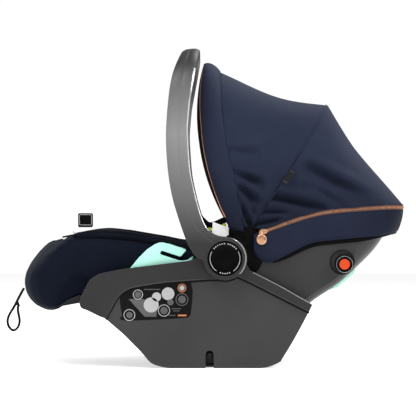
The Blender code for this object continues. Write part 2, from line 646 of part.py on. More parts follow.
def back_cover():
    """Padded liner inside the foam, with the space for the child cut out of it."""
    line = inset([*BACK_LINE, (0.40, 0.42), (0.0, 0.42)], 0.0246)[:len(BACK_LINE)]
    line[0] = (BACK_FRONT, line[0][1])
    top = [(0.3180, 0.2640), (0.3180, 0.2830), (0.2326, 0.2780), (0.1500, 0.2620), (0.0950, 0.2420),
           (0.0480, 0.2200), (0.0300, 0.2000), (BACK_FRONT, 0.1800)]
    cover = prism("back_cover", [*line[:-1], *top], -0.1390, 0.1390, "liner_fabric")
    bed = [(0.0, 0.1280), (0.0300, 0.1260), (0.0700, 0.1180), (0.1100, 0.1280), (0.1600, 0.1600),
           (0.2200, 0.2000), (0.2700, 0.2350), (0.3000, 0.2600), (0.3000, 0.40), (0.0, 0.40)]
    boolean(cover, prism("back_space", bed, -CHILD_HALF, CHILD_HALF, "liner_fabric"))


def pods():
    for side, sign in SIDES:
        ring = [(0.0169, sign * 0.1410), (0.0186, sign * 0.1410),
                (0.0186, sign * 0.1790), (0.0169, sign * 0.1790)]
        socket = turned(f"pod_socket_{side}", POD_CENTRE, ring, "black_plastic", 24)
        face = sign * 0.1995
        profile = [(0.0050, sign * 0.160), (0.0165, sign * 0.160), (0.0165, sign * 0.1985),
                   (0.0155, face), (0.0050, face)]
        pod = turned(f"pod_{side}", POD_CENTRE, profile, "black_plastic", 24)
        y0, y1 = sorted((sign * 0.165, sign * 0.1990))
        core = disc(f"pod_core_{side}", POD_CENTRE, 0.0060, y0, y1, "black_plastic", 24)
        boolean(pod, core, "UNION")
        disc(f"pod_badge_{side}", POD_CENTRE, 0.0100, *sorted((face + sign * 0.0003, face + sign * 0.0009)),
             "orange_plastic", 24)


GUIDE_HALF = 0.108
GUIDE_GAP, GUIDE_THICK, GUIDE_THIN = 0.0005, 0.0062, 0.0024


def shoulder_belt_guide():
    """Bowed bar across the back that holds the diagonal belt. It follows the back's line round one knot."""
    line = [Vector(p) for p in BACK_LINE[6:9]]
    start, end = line[0].lerp(Vector(BACK_LINE[5]), 0.30), line[1].lerp(line[2], 0.16)
    line = [start, line[0], line[1], end]
    inner, outer = [], []
    for i, place in enumerate(line):
        run = (line[min(i + 1, 3)] - line[max(i - 1, 0)]).normalized()
        outward = Vector((run.y, -run.x))
        inner.append(place + outward * GUIDE_GAP)
        outer.append(place + outward * (GUIDE_GAP + (GUIDE_THICK if 0 < i < 3 else GUIDE_THIN)))
    outline = [(p.x, p.y) for p in [*outer, *reversed(inner)]]
    prism("shoulder_belt_guide", outline, -GUIDE_HALF, GUIDE_HALF, "mint_plastic")


# ---------------------------------------------------------------- skirt and zipper round the head end
ZIP_LINE = [(0.1000, 0.2530), (0.1473, 0.2701), (0.1900, 0.2838), (0.2326, 0.2920), (0.2898, 0.2970),
            (0.3400, 0.3000), (0.3740, 0.3000)]
HEM_LINE = [(0.0900, 0.2060), (0.1140, 0.1955), (0.1500, 0.2115), (0.1932, 0.2310), (0.2326, 0.2375),
            (0.3264, 0.2460), (0.3620, 0.2520)]
WAIST_LINE = [(0.0850, 0.2300), (0.1225, 0.2400), (0.1700, 0.2540), (0.2100, 0.2630), (0.2550, 0.2680),
              (0.3350, 0.2790), (0.3790, 0.2850)]


def plan_ring(line, half, rows):
    """A U in plan: a side line taken back along one side, round the head end and forward again."""
    made = []
    turn_x = 0.236
    end_x = line[-1][0]
    for i in range(rows + 1):
        u = -1.0 + 2.0 * i / rows
        a = abs(u)
        if a > 0.45:
            share = (1.0 - a) / 0.55
            x = line[0][0] + (turn_x - line[0][0]) * share
            y = half
        else:
            angle = math.radians(90 * (1 - a / 0.45))
            n = 2 / 4
            x = turn_x + (end_x - turn_x) * math.sin(angle) ** n
            y = half * math.cos(angle) ** n
        z = height_on(line, x)
        made.append((x, math.copysign(y, u) if a > 1e-9 else 0.0, z))
    return made


def height_on(line, x):
    for (x0, z0), (x1, z1) in zip(line, line[1:]):
        if x <= x1:
            return z0 + (z1 - z0) * (x - x0) / (x1 - x0)
    return line[-1][1]


RING_ROWS = 32
SKIRT_THICK = 0.0062


def skirt():
    lines = (HEM_LINE, WAIST_LINE, [(x, z - 0.004) for x, z in ZIP_LINE])
    halves = (SKIRT_HALF - 0.001, SKIRT_HALF, SKIRT_HALF - 0.001)
    outer = [plan_ring(line, half, RING_ROWS) for line, half in zip(lines, halves)]
    inner_lines = [[(x - SKIRT_THICK if i else x, z) for i, (x, z) in enumerate(line)] for line in lines]
    inner = [plan_ring(line, SKIRT_HALF - SKIRT_THICK, RING_ROWS) for line in inner_lines]
    grid_shell("skirt", outer, inner, "navy_fabric")


def zipper():
    low = [(x, z - 0.0032) for x, z in ZIP_LINE]
    high = [(x, z + 0.0032) for x, z in ZIP_LINE]
    outer = [plan_ring(line, SKIRT_HALF - 0.0008, RING_ROWS) for line in (low, high)]
    inner_lines = [[(x - 0.003 if i else x, z) for i, (x, z) in enumerate(line)] for line in (low, high)]
    inner = [plan_ring(line, SKIRT_HALF - 0.0030, RING_ROWS) for line in inner_lines]
    grid_shell("zipper", outer, inner, "copper")


ZIP_HINGE = (0.1000, 0.2530)


def zip_hardware():
    x, z = ZIP_HINGE
    body = [(x - 0.005, z - 0.0005), (x + 0.005, z + 0.0015),
            (x + 0.009, z + 0.0110), (x - 0.001, z + 0.0130)]
    bevel(prism("zip_slider", body, -0.1914, -0.1898, "copper"), 0.0005, 1)
    pull = disc("zip_pull", (x, z - 0.0130), 0.0096, -0.1934, -0.1918, "copper", 20)
    neck = prism("pull_neck", [(x - 0.002, z - 0.008), (x + 0.002, z - 0.008), (x + 0.002, z + 0.002),
                               (x - 0.002, z + 0.002)], -0.1932, -0.1920, "copper")
    boolean(pull, neck, "UNION")


# ---------------------------------------------------------------- hood
FRONT_SEAM = ((0.0660, 0.2480), (0.0800, 0.3300), (0.0240, 0.4000), (0.0240, 0.5620))
FRONT_EDGE_LINE = ((0.0480, 0.2520), (-0.0020, 0.3300), (-0.0420, 0.4450), (-0.0070, 0.5790))
MID_SEAM = ((0.0680, 0.2500), (0.1200, 0.3300), (0.1760, 0.4130), (0.2320, 0.4975))
ARCH_POWER = 2.7
ARCH_STEPS = 20


def arch(side_line, half, low=0.0, thin=0.0):
    """Points over the hood from the left pivot to the right one. side_line is the arch seen from the side."""
    made = []
    length = math.dist(side_line[0], side_line[3])
    for i in range(ARCH_STEPS + 1):
        a = math.pi * i / ARCH_STEPS
        c, s = math.cos(a), max(0.0, math.sin(a))
        height = low + (1 - low - thin / length) * s ** (2 / ARCH_POWER)
        y = -math.copysign(abs(c) ** (2 / ARCH_POWER), c) * (half - thin) if abs(c) > 1e-9 else 0.0
        x, z = bezier(*side_line, height)
        made.append((x, y, z))
    return made


def between(row_a, row_b, share, sag=0.0, centre=(0.09, 0.30)):
    """A row of points part of the way between two rows, drawn towards the hood's middle by sag."""
    made = []
    for p, q in zip(row_a, row_b):
        v = Vector(p).lerp(Vector(q), share)
        pull = Vector((centre[0] - v.x, -v.y, centre[1] - v.z))
        if pull.length > 1e-6:
            high = min(1.0, max(0.0, (v.z - 0.27) / 0.15))
            v += pull.normalized() * (sag * high)
        made.append(tuple(v))
    return made


FABRIC = 0.0020


def fabric_panel(name, rib_a, rib_b, inner_a, inner_b, sag, shares=(0.006, 0.25, 0.5, 0.75, 0.994)):
    outer = [between(rib_a, rib_b, s, sag * 4 * s * (1 - s)) for s in shares]
    inner = [between(inner_a, inner_b, s, sag * 4 * s * (1 - s)) for s in shares]
    grid_shell(name, outer, inner, "navy_fabric")


def hood():
    front = arch(FRONT_SEAM, HOOD_HALF, 0.06)
    front_in = arch(FRONT_SEAM, HOOD_HALF, 0.06, FABRIC)
    mid = arch(MID_SEAM, HOOD_HALF, 0.06)
    mid_in = arch(MID_SEAM, HOOD_HALF, 0.06, FABRIC)
    fabric_panel("hood_front_panel", front, mid, front_in, mid_in, 0.013)

    rear_line = [(x, z + 0.0040) for x, z in ZIP_LINE]
    rear_thin = [(x - 0.002 if i else x, z) for i, (x, z) in enumerate(rear_line)]
    rear = plan_ring(rear_line, SKIRT_HALF - 0.0010, ARCH_STEPS)
    rear_in = plan_ring(rear_thin, SKIRT_HALF - 0.0030, ARCH_STEPS)
    fabric_panel("hood_rear_panel", mid, rear, mid_in, rear_in, 0.008)

    edge = arch(FRONT_EDGE_LINE, HOOD_HALF - 0.002, 0.10)
    edge_in = arch(FRONT_EDGE_LINE, HOOD_HALF - 0.002, 0.10, 0.004)
    seam = arch(FRONT_SEAM, HOOD_HALF, 0.11)
    seam_in = arch(FRONT_SEAM, HOOD_HALF, 0.11, 0.004)
    puff = 0.006
    outer = [between(edge, seam, s, -puff * 4 * s * (1 - s)) for s in (0.0, 0.3, 0.65, 0.94)]
    inner = [between(edge_in, seam_in, s) for s in (0.0, 0.3, 0.65, 0.94)]
    grid_shell("hood_visor", outer, inner, "navy_fabric")

    bow("hood_mid_bow", MID_SEAM, 0.1740)
    bow("hood_front_bow", FRONT_SEAM, 0.1700)
    for side, sign in SIDES:
        stem = [(0.0015, sign * 0.1642), (0.0065, sign * 0.1642), (0.0065, sign * 0.1668),
                (0.0040, sign * 0.1668), (0.0040, sign * 0.1760), (0.0015, sign * 0.1760)]
        turned(f"hood_pivot_{side}", HOOD_PIVOT, stem, "black_plastic", 16)


BOW_THICK, BOW_WIDE = 0.0025, 0.008


def bow(name, side_line, half):
    """A flat strip under the fabric with an eye at each end, both on the hood's pivot axis."""
    run = (HOOD_PIVOT, *side_line[1:])
    outer_row = arch(run, half, 0.025, 0.0)
    inner_row = arch(run, half, 0.025, BOW_THICK)
    drop = 0.010
    loops = []
    for i, (p, q) in enumerate(zip(outer_row, inner_row)):
        p, q = Vector(p), Vector(q)
        ahead = Vector(outer_row[min(i + 1, ARCH_STEPS)])
        behind = Vector(outer_row[max(i - 1, 0)])
        along = (ahead - behind).normalized()
        across = along.cross((p - q).normalized()).normalized() * (BOW_WIDE / 2)
        down = Vector((0, 0, -drop)) * min(1.0, max(0.0, (p.z - 0.30) / 0.1))
        loops.append([p + across + down, p - across + down, q - across + down, q + across + down])
    strip = loft(name, loops, "black_plastic")
    for side, sign in SIDES:
        y0, y1 = sign * half, sign * (half - BOW_THICK)
        eye = [(0.0044, y0), (0.0090, y0), (0.0090, y1), (0.0044, y1)]
        boolean(strip, turned(f"{name}_eye_{side}", HOOD_PIVOT, eye, "black_plastic", 16), "UNION")
        y0, y1 = sorted((sign * (half + 0.004), sign * (half - 0.006)))
        hole = disc(f"{name}_hole_{side}", HOOD_PIVOT, 0.0044, y0, y1, "black_plastic", 16)
        boolean(strip, hole)
    return strip


# ---------------------------------------------------------------- harness and headrest
def harness():
    x, z = 0.006, 0.168
    body = [(x - 0.052, z - 0.010), (x - 0.008, z - 0.010), (x - 0.004, z + 0.006), (x - 0.048, z + 0.010)]
    buckle = bevel(prism("buckle_body", body, -0.026, 0.026, "black_plastic"), 0.002, 1)
    pocket = [(x - 0.0425, z + 0.0020), (x - 0.0215, z + 0.0001),
              (x - 0.0205, z + 0.0150), (x - 0.0415, z + 0.0169)]
    boolean(buckle, prism("button_pocket", pocket, -0.0135, 0.0135, "black_plastic"))
    button = [(x - 0.0415, z + 0.0055), (x - 0.0220, z + 0.0037),
              (x - 0.0215, z + 0.0100), (x - 0.0410, z + 0.0118)]
    prism("buckle_button", button, -0.0125, 0.0125, "red_plastic")
    prism("crotch_strap", [(x - 0.040, z - 0.0290), (x - 0.036, z - 0.0290), (x - 0.030, z - 0.0110),
                           (x - 0.034, z - 0.0110)], -0.019, 0.019, "webbing")
    for side, sign in SIDES:
        y0, y1 = sorted((sign * 0.0265, sign * 0.0560))
        tongue = [(x - 0.030, z + 0.0005), (x - 0.008, z - 0.0015),
                  (x - 0.008, z + 0.0010), (x - 0.030, z + 0.0030)]
        prism(f"buckle_tongue_{side}", tongue, y0, y1, "steel")
        y0, y1 = sorted((sign * 0.0565, sign * 0.1110))
        lap = [(x - 0.034, z - 0.0010), (x - 0.004, z - 0.0030),
               (x - 0.004, z - 0.0010), (x - 0.034, z + 0.0010)]
        prism(f"lap_strap_{side}", lap, y0, y1, "webbing")
        y0, y1 = sorted((sign * 0.030, sign * 0.078))
        low, high = (0.118, 0.1430), (0.232, 0.2180)
        pad = [(low[0], low[1]), (high[0], high[1]), (high[0] - 0.006, high[1] + 0.009),
               (low[0] - 0.006, low[1] + 0.009)]
        bevel(prism(f"shoulder_pad_{side}", pad, y0, y1, "liner_fabric"), 0.002, 1)


HEADREST_RUN = Vector((0.0500, 0.0360)).normalized()   # along the bed, towards the top of the head
HEADREST_TRAVEL = 0.020


def headrest():
    """Padded horseshoe round the head. It slides up and down the back."""
    start = Vector((0.2420, 0.2170))
    up = Vector((-HEADREST_RUN.y, HEADREST_RUN.x))
    tall, deep = 0.034, 0.052

    def corner(along, out):
        place = start + HEADREST_RUN * along + up * out
        return (place.x, place.y)

    block = [corner(0, 0.001), corner(tall, 0.001), corner(tall, deep), corner(0, deep)]
    rest = prism("headrest", block, -0.1080, 0.1080, "liner_fabric")
    space = [corner(-0.02, 0.014), corner(tall + 0.02, 0.014), corner(tall + 0.02, 0.10), corner(-0.02, 0.10)]
    boolean(rest, prism("headrest_space", space, -0.0820, 0.0820, "liner_fabric"))


# ---------------------------------------------------------------- moving groups
def lever_axis():
    """The release lever turns about its upper edge."""
    edge, run, outward = along_back(0.97)
    place = edge - run * 0.002 - outward * 0.0018
    return (place.x, 0.0, place.y)


def moving_groups():
    """An empty on each joint's axis, with the pieces that move about it or along it."""
    hub = (HUB[0], 0.0, HUB[1])
    hood_axis = (HOOD_PIVOT[0], 0.0, HOOD_PIVOT[1])
    groups = {
        "handle": (hub, None, ["handle_frame", "grip_pad", "button_spring_left", "button_spring_right"]),
        "back": (hub, None, ["rear_shell", "back_foam", "back_cover", "pod_socket_left", "pod_socket_right",
                             "shoulder_belt_guide", "skirt", "zipper", "zip_slider", "hood_pivot_left",
                             "hood_pivot_right", "shoulder_pad_left", "shoulder_pad_right"]),
        "leg_rest": ((KNEE[0], 0.0, KNEE[1]), None,
                     ["leg_rest_pan", "leg_rest_cover", "rim_tag", "pull_loop"]),
        "hood_mid": (hood_axis, "back", ["hood_mid_bow", "hood_front_panel", "hood_rear_panel"]),
        "hood_front": (hood_axis, "hood_mid", ["hood_front_bow", "hood_visor"]),
        "lever": (lever_axis(), "back", ["release_lever"]),
        "head": ((0.2420, 0.0, 0.2170), "back", ["headrest"]),
        "pull": ((ZIP_HINGE[0], -0.1926, ZIP_HINGE[1]), "back", ["zip_pull"]),
        "buckle_press": ((-0.0255, 0.0, 0.1770), None, ["buckle_button"]),
    }
    for side, sign in SIDES:
        groups[f"press_{side}"] = ((HUB[0], sign * HUB_OUT, HUB[1]), "handle", [f"handle_button_{side}"])
        pod_place = (POD_CENTRE[0], sign * SHELL_HALF, POD_CENTRE[1])
        groups[f"pod_run_{side}"] = (pod_place, "back", [f"pod_{side}", f"pod_badge_{side}"])
    axes = {}
    for name, (place, parent, members) in groups.items():
        axis = bpy.data.objects.new(f"{name}_axis", None)
        bpy.context.scene.collection.objects.link(axis)
        start = Vector(place)
        if parent:
            axis.parent = axes[parent][0]
            start = start - axes[parent][1]
        axis.location = start
        axes[name] = (axis, Vector(place))
        for member in members:
            obj = bpy.data.objects[member]
            obj.parent = axis
            obj.matrix_parent_inverse = Matrix.Translation(-Vector(place))


def main():
    base_tub()
    side_bands()
    belt_guides()
    latch_parts()
    label_plates()
    pivot_bosses()
    seat_parts()
    leg_rest_cover()
    leg_rest_pan()
    rim_tag()
    pull_loop()
    handle()
    grip_pad()
    rear_shell()
    release_lever()
    back_foam()
    back_cover()
    pods()
    shoulder_belt_guide()
    skirt()
    zipper()
    zip_hardware()
    hood()
    harness()
    headrest()
    moving_groups()


main()
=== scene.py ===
"""Looks of the infant car seat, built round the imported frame.

Frame: metres, +X from the feet to the head, +Z up, Y = 0 the centre plane.
"left" is the child's left, at -Y.
"""

import math

import bmesh
import bpy
import numpy as np
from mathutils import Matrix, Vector


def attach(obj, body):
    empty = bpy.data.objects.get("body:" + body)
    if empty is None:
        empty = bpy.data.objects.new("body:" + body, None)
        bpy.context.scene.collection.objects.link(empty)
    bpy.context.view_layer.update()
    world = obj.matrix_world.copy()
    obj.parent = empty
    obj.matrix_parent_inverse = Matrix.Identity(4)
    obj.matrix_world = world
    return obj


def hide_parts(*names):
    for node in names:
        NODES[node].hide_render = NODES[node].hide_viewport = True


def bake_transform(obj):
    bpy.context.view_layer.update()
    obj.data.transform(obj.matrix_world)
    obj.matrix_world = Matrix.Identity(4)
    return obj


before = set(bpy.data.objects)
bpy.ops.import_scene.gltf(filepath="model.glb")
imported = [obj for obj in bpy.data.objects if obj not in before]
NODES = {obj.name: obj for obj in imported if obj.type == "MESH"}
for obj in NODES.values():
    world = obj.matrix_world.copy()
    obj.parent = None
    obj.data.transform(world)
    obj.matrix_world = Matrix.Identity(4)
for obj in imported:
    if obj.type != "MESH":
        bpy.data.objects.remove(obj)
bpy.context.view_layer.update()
SIDES = (("left", -1), ("right", 1))

# ---------------------------------------------------------------- dimensions shared with the CAD part
HUB = (0.0315, 0.205)
HUB_RADIUS = 0.0408
HOOD_PIVOT = (0.065, 0.248)
POD_CENTRE = (0.2547, 0.1937)
POD_DISH = (0.2512, 0.1974)
HANDLE_IN, ARM_OUT, HUB_OUT = 0.2025, 0.2195, 0.2225
TUB_HALF, BAND_HALF = 0.194, 0.2005
SHELL_HALF = 0.1805
HOOD_HALF = 0.184
CHILD_HALF = 0.112


# ---------------------------------------------------------------- curves
def bezier(p0, p1, p2, p3, t):
    s = 1.0 - t
    weights = (s * s * s, 3 * s * s * t, 3 * s * t * t, t * t * t)
    return tuple(sum(w * p[k] for w, p in zip(weights, (p0, p1, p2, p3))) for k in range(len(p0)))


def smooth(knots, steps=8):
    """Catmull-Rom through the knots."""
    ends = [knots[0], *knots, knots[-1]]
    path = []
    for i in range(1, len(ends) - 2):
        a, b, c, d = ends[i - 1:i + 3]
        for k in range(steps):
            t = k / steps
            path.append(tuple(
                0.5 * (2 * b[n] + (c[n] - a[n]) * t + (2 * a[n] - 5 * b[n] + 4 * c[n] - d[n]) * t * t
                       + (3 * b[n] - a[n] - 3 * c[n] + d[n]) * t ** 3)
                for n in range(len(b))))
    path.append(tuple(knots[-1]))
    return path


def resample(line, count):
    """The same polyline with count points evenly spaced along it."""
    line = np.array(line, float)
    reach = np.concatenate([[0.0], np.cumsum(np.linalg.norm(np.diff(line, axis=0), axis=1))])
    want = np.linspace(0.0, reach[-1], count)
    columns = [np.interp(want, reach, line[:, k]) for k in range(line.shape[1])]
    return [tuple(p) for p in np.stack(columns, axis=1)]


def arc(centre, radius, start_deg, end_deg, steps):
    span = [math.radians(start_deg + (end_deg - start_deg) * i / steps) for i in range(steps + 1)]
    return [(centre[0] + radius * math.cos(a), centre[1] + radius * math.sin(a)) for a in span]


def height_on(line, x):
    return float(np.interp(x, [p[0] for p in line], [p[1] for p in line]))


def inset(outline, depth):
    """The outline moved inwards, for one that runs anticlockwise with X right and Z up."""
    moved = []
    for i, (x, z) in enumerate(outline):
        (ax, az), (bx, bz) = outline[i - 1], outline[(i + 1) % len(outline)]
        d1 = Vector((x - ax, z - az)).normalized()
        d2 = Vector((bx - x, bz - z)).normalized()
        normal = Vector((-d1.y - d2.y, d1.x + d2.x))
        scale = depth / max(0.35, normal.length_squared / 2)
        moved.append((x + normal.x * scale, z + normal.y * scale))
    return moved


# ---------------------------------------------------------------- materials
def node(tree, kind, values=None, **props):
    made = tree.nodes.new(kind)
    for key, value in props.items():
        setattr(made, key, value)
    for key, value in (values or {}).items():
        if isinstance(value, bpy.types.NodeSocket):
            tree.links.new(value, made.inputs[key])
        else:
            made.inputs[key].default_value = value
    return made


def maths(tree, operation, a, b=0.0):
    return node(tree, "ShaderNodeMath", {0: a, 1: b}, operation=operation).outputs[0]


def ramp(tree, factor, stops):
    made = node(tree, "ShaderNodeValToRGB", {"Fac": factor})
    marks = made.color_ramp.elements
    while len(marks) < len(stops):
        marks.new(0.5)
    for mark, (place, colour) in zip(marks, stops):
        mark.position = place
        mark.color = (*colour, 1.0) if len(colour) == 3 else colour
    return made.outputs["Color"]


def spread(tree, factor, low, high, out_low, out_high):
    made = node(tree, "ShaderNodeMapRange", {"Value": factor, "From Min": low, "From Max": high,
                                             "To Min": out_low, "To Max": out_high})
    return made.outputs["Result"]


def noise(tree, place, scale, detail=2.0):
    return node(tree, "ShaderNodeTexNoise", {"Vector": place, "Scale": scale, "Detail": detail}).outputs["Fac"]


def blank(name, roughness, metallic=0.0, **sockets):
    made = bpy.data.materials.new(name)
    made.use_nodes = True
    tree = made.node_tree
    shader = tree.nodes["Principled BSDF"]
    shader.inputs["Roughness"].default_value = roughness
    shader.inputs["Metallic"].default_value = metallic
    for key, value in sockets.items():
        shader.inputs[key.replace("_", " ").title()].default_value = value
    return made, tree, shader


def shade(colour, share):
    return tuple(min(1.0, c * share) for c in colour)


def wear_and_highlight_edges(tree, radius=0.0012):
    """0 on open faces, rising to 1 on outer edges."""
    bevelled = node(tree, "ShaderNodeBevel", {"Radius": radius}, samples=4).outputs["Normal"]
    face = node(tree, "ShaderNodeNewGeometry").outputs["Normal"]
    same = node(tree, "ShaderNodeVectorMath", {0: bevelled, 1: face}, operation="DOT_PRODUCT").outputs["Value"]
    return spread(tree, same, 0.995, 0.80, 0.0, 1.0)


def plastic(name, colour, roughness=0.45, grain=1400.0, depth=0.00010, vary=0.10, metallic=0.0, wear_and_highlight=0.55,
            painted_light_stops=None, gloss=0.22, **sockets):
    """Moulded plastic: fine grain, broad tone changes and paler edges, partly wear and partly a painted highlight.
    painted_light_stops, when given, paints highlight and shade into the colour by height.
    """
    made, tree, shader = blank(name, roughness, metallic, **sockets)
    shader.inputs["Specular IOR Level"].default_value = gloss
    place = node(tree, "ShaderNodeTexCoord").outputs["Object"]
    broad = noise(tree, place, 9.0, 4.0)
    fine = noise(tree, place, grain, 2.0)
    tone = ramp(tree, broad, [(0.3, shade(colour, 1 - vary)), (0.7, shade(colour, 1 + vary))])
    # painted highlight and shade: the colour follows a ramp by height
    if painted_light_stops:
        low, high, stops = painted_light_stops
        z = node(tree, "ShaderNodeSeparateXYZ", {0: place}).outputs["Z"]
        tone = ramp(tree, spread(tree, z, low, high, 0.0, 1.0), stops)
    patches = spread(tree, noise(tree, place, 55.0, 5.0), 0.35, 0.65, 0.35, 1.0)
    # paler edges: partly wear, partly painted highlight
    wear_and_highlight_mask = maths(tree, "MULTIPLY", wear_and_highlight_edges(tree), patches)
    mixed = node(tree, "ShaderNodeMix", {0: maths(tree, "MULTIPLY", wear_and_highlight_mask, wear_and_highlight), 6: tone,
                                         7: (*shade(colour, 3.2), 1.0)}, data_type="RGBA")
    tree.links.new(mixed.outputs[2], shader.inputs["Base Color"])
    tree.links.new(spread(tree, fine, 0.3, 0.7, roughness - 0.06, roughness + 0.07), shader.inputs["Roughness"])
    bump = node(tree, "ShaderNodeBump", {"Height": fine, "Strength": 0.35, "Distance": depth})
    tree.links.new(bump.outputs["Normal"], shader.inputs["Normal"])
    return made


def fabric(name, colour, period=0.0011, depth=0.00022, roughness=0.78, sheen=0.25, vary=0.14, crumple=0.0,
           painted_glow=0.0, fade=None):
    """Woven cloth: threads crossing in every plane, with uneven dye and a soft sheen.

    fade is (axis, low, high, share at low, share at high): painted shade, the colour darkened along one axis.
    """
    made, tree, shader = blank(name, roughness)
    shader.inputs["Specular IOR Level"].default_value = 0.06
    shader.inputs["Sheen Weight"].default_value = sheen
    # painted light: the cloth glows
    if painted_glow:
        shader.inputs["Emission Color"].default_value = (1.0, 1.0, 1.0, 1.0)
        shader.inputs["Emission Strength"].default_value = painted_glow
    shader.inputs["Sheen Roughness"].default_value = 0.45
    shader.inputs["Sheen Tint"].default_value = (0.55, 0.62, 0.85, 1.0)
    coordinates = node(tree, "ShaderNodeTexCoord")
    place = coordinates.outputs["Object"]
    waves = node(tree, "ShaderNodeVectorMath", {0: place, "Scale": math.tau / period}, operation="SCALE").outputs[0]
    sines = node(tree, "ShaderNodeVectorMath", {0: waves}, operation="SINE").outputs[0]
    axes = node(tree, "ShaderNodeSeparateXYZ", {0: sines}).outputs
    facing = coordinates.outputs["Normal"]
    weights = node(tree, "ShaderNodeVectorMath", {0: facing, 1: facing}, operation="MULTIPLY").outputs[0]
    threads = node(tree, "ShaderNodeCombineXYZ", {
        0: maths(tree, "MULTIPLY", axes[1], axes[2]), 1: maths(tree, "MULTIPLY", axes[0], axes[2]),
        2: maths(tree, "MULTIPLY", axes[0], axes[1])}).outputs[0]
    weave = node(tree, "ShaderNodeVectorMath", {0: threads, 1: weights}, operation="DOT_PRODUCT").outputs["Value"]
    fuzz = noise(tree, place, 2600.0, 3.0)
    height = maths(tree, "ADD", weave, maths(tree, "MULTIPLY", fuzz, 0.8))
    broad = noise(tree, place, 22.0, 5.0)
    speck = noise(tree, place, 700.0, 2.0)
    mix = maths(tree, "ADD", maths(tree, "MULTIPLY", broad, 0.55), maths(tree, "MULTIPLY", speck, 0.45))
    mix = maths(tree, "ADD", mix, maths(tree, "MULTIPLY", weave, 0.10))
    tone = ramp(tree, mix, [(0.30, shade(colour, 1 - vary)), (0.70, shade(colour, 1 + vary))])
    # painted shade along one axis
    if fade:
        axis, *ends = fade
        share = spread(tree, node(tree, "ShaderNodeSeparateXYZ", {0: place}).outputs[axis], *ends)
        tone = node(tree, "ShaderNodeVectorMath", {0: tone, "Scale": share}, operation="SCALE").outputs[0]
    tree.links.new(tone, shader.inputs["Base Color"])
    tree.links.new(spread(tree, height, -0.6, 1.4, roughness + 0.08, roughness - 0.08), shader.inputs["Roughness"])
    bump = node(tree, "ShaderNodeBump", {"Height": height, "Strength": 0.5, "Distance": depth})
    if crumple:
        folds = noise(tree, place, 38.0, 3.0)
        under = node(tree, "ShaderNodeBump", {"Height": folds, "Strength": 0.6, "Distance": crumple})
        tree.links.new(under.outputs["Normal"], bump.inputs["Normal"])
    tree.links.new(bump.outputs["Normal"], shader.inputs["Normal"])
    return made


def webbing(name, colour, rib=0.0016):
    """Ribbed tape. UV holds metres across and along the strap."""
    made, tree, shader = blank(name, 0.7)
    shader.inputs["Specular IOR Level"].default_value = 0.10
    shader.inputs["Sheen Weight"].default_value = 0.03
    uv = node(tree, "ShaderNodeTexCoord").outputs["UV"]
    parts = node(tree, "ShaderNodeSeparateXYZ", {0: uv}).outputs
    slant = maths(tree, "ADD", parts[1], maths(tree, "ABSOLUTE", parts[0]))
    ribs = maths(tree, "SINE", maths(tree, "MULTIPLY", slant, math.tau / rib))
    cross = maths(tree, "SINE", maths(tree, "MULTIPLY", parts[0], math.tau / (rib * 0.8)))
    height = maths(tree, "ADD", maths(tree, "MULTIPLY", ribs, 0.6), maths(tree, "MULTIPLY", cross, 0.4))
    stops = [(0.1, shade(colour, 0.7)), (0.9, shade(colour, 1.5))]
    tone = ramp(tree, spread(tree, height, -1.0, 1.0, 0.0, 1.0), stops)
    tree.links.new(tone, shader.inputs["Base Color"])
    bump = node(tree, "ShaderNodeBump", {"Height": height, "Strength": 0.6, "Distance": 0.0003})
    tree.links.new(bump.outputs["Normal"], shader.inputs["Normal"])
    return made


def metal(name, colour, roughness, brushed=220.0):
    """Plated metal with fine scuffs."""
    made, tree, shader = blank(name, roughness, 1.0)
    place = node(tree, "ShaderNodeTexCoord").outputs["Object"]
    scuffs = noise(tree, place, brushed, 6.0)
    tone = ramp(tree, scuffs, [(0.3, shade(colour, 0.82)), (0.7, shade(colour, 1.08))])
    tree.links.new(tone, shader.inputs["Base Color"])
    tree.links.new(spread(tree, scuffs, 0.3, 0.7, roughness - 0.08, roughness + 0.12), shader.inputs["Roughness"])
    bump = node(tree, "ShaderNodeBump", {"Height": scuffs, "Strength": 0.15, "Distance": 0.0001})
    tree.links.new(bump.outputs["Normal"], shader.inputs["Normal"])
    return made


def beads(name, colour):
    """Expanded bead foam."""
    made, tree, shader = blank(name, 0.85)
    place = node(tree, "ShaderNodeTexCoord").outputs["Object"]
    cells = node(tree, "ShaderNodeTexVoronoi", {"Vector": place, "Scale": 260.0}).outputs["Distance"]
    tone = ramp(tree, cells, [(0.2, colour), (0.8, shade(colour, 0.8))])
    tree.links.new(tone, shader.inputs["Base Color"])
    bump = node(tree, "ShaderNodeBump", {"Height": cells, "Strength": 0.5, "Distance": 0.0006}, invert=True)
    tree.links.new(bump.outputs["Normal"], shader.inputs["Normal"])
    return made
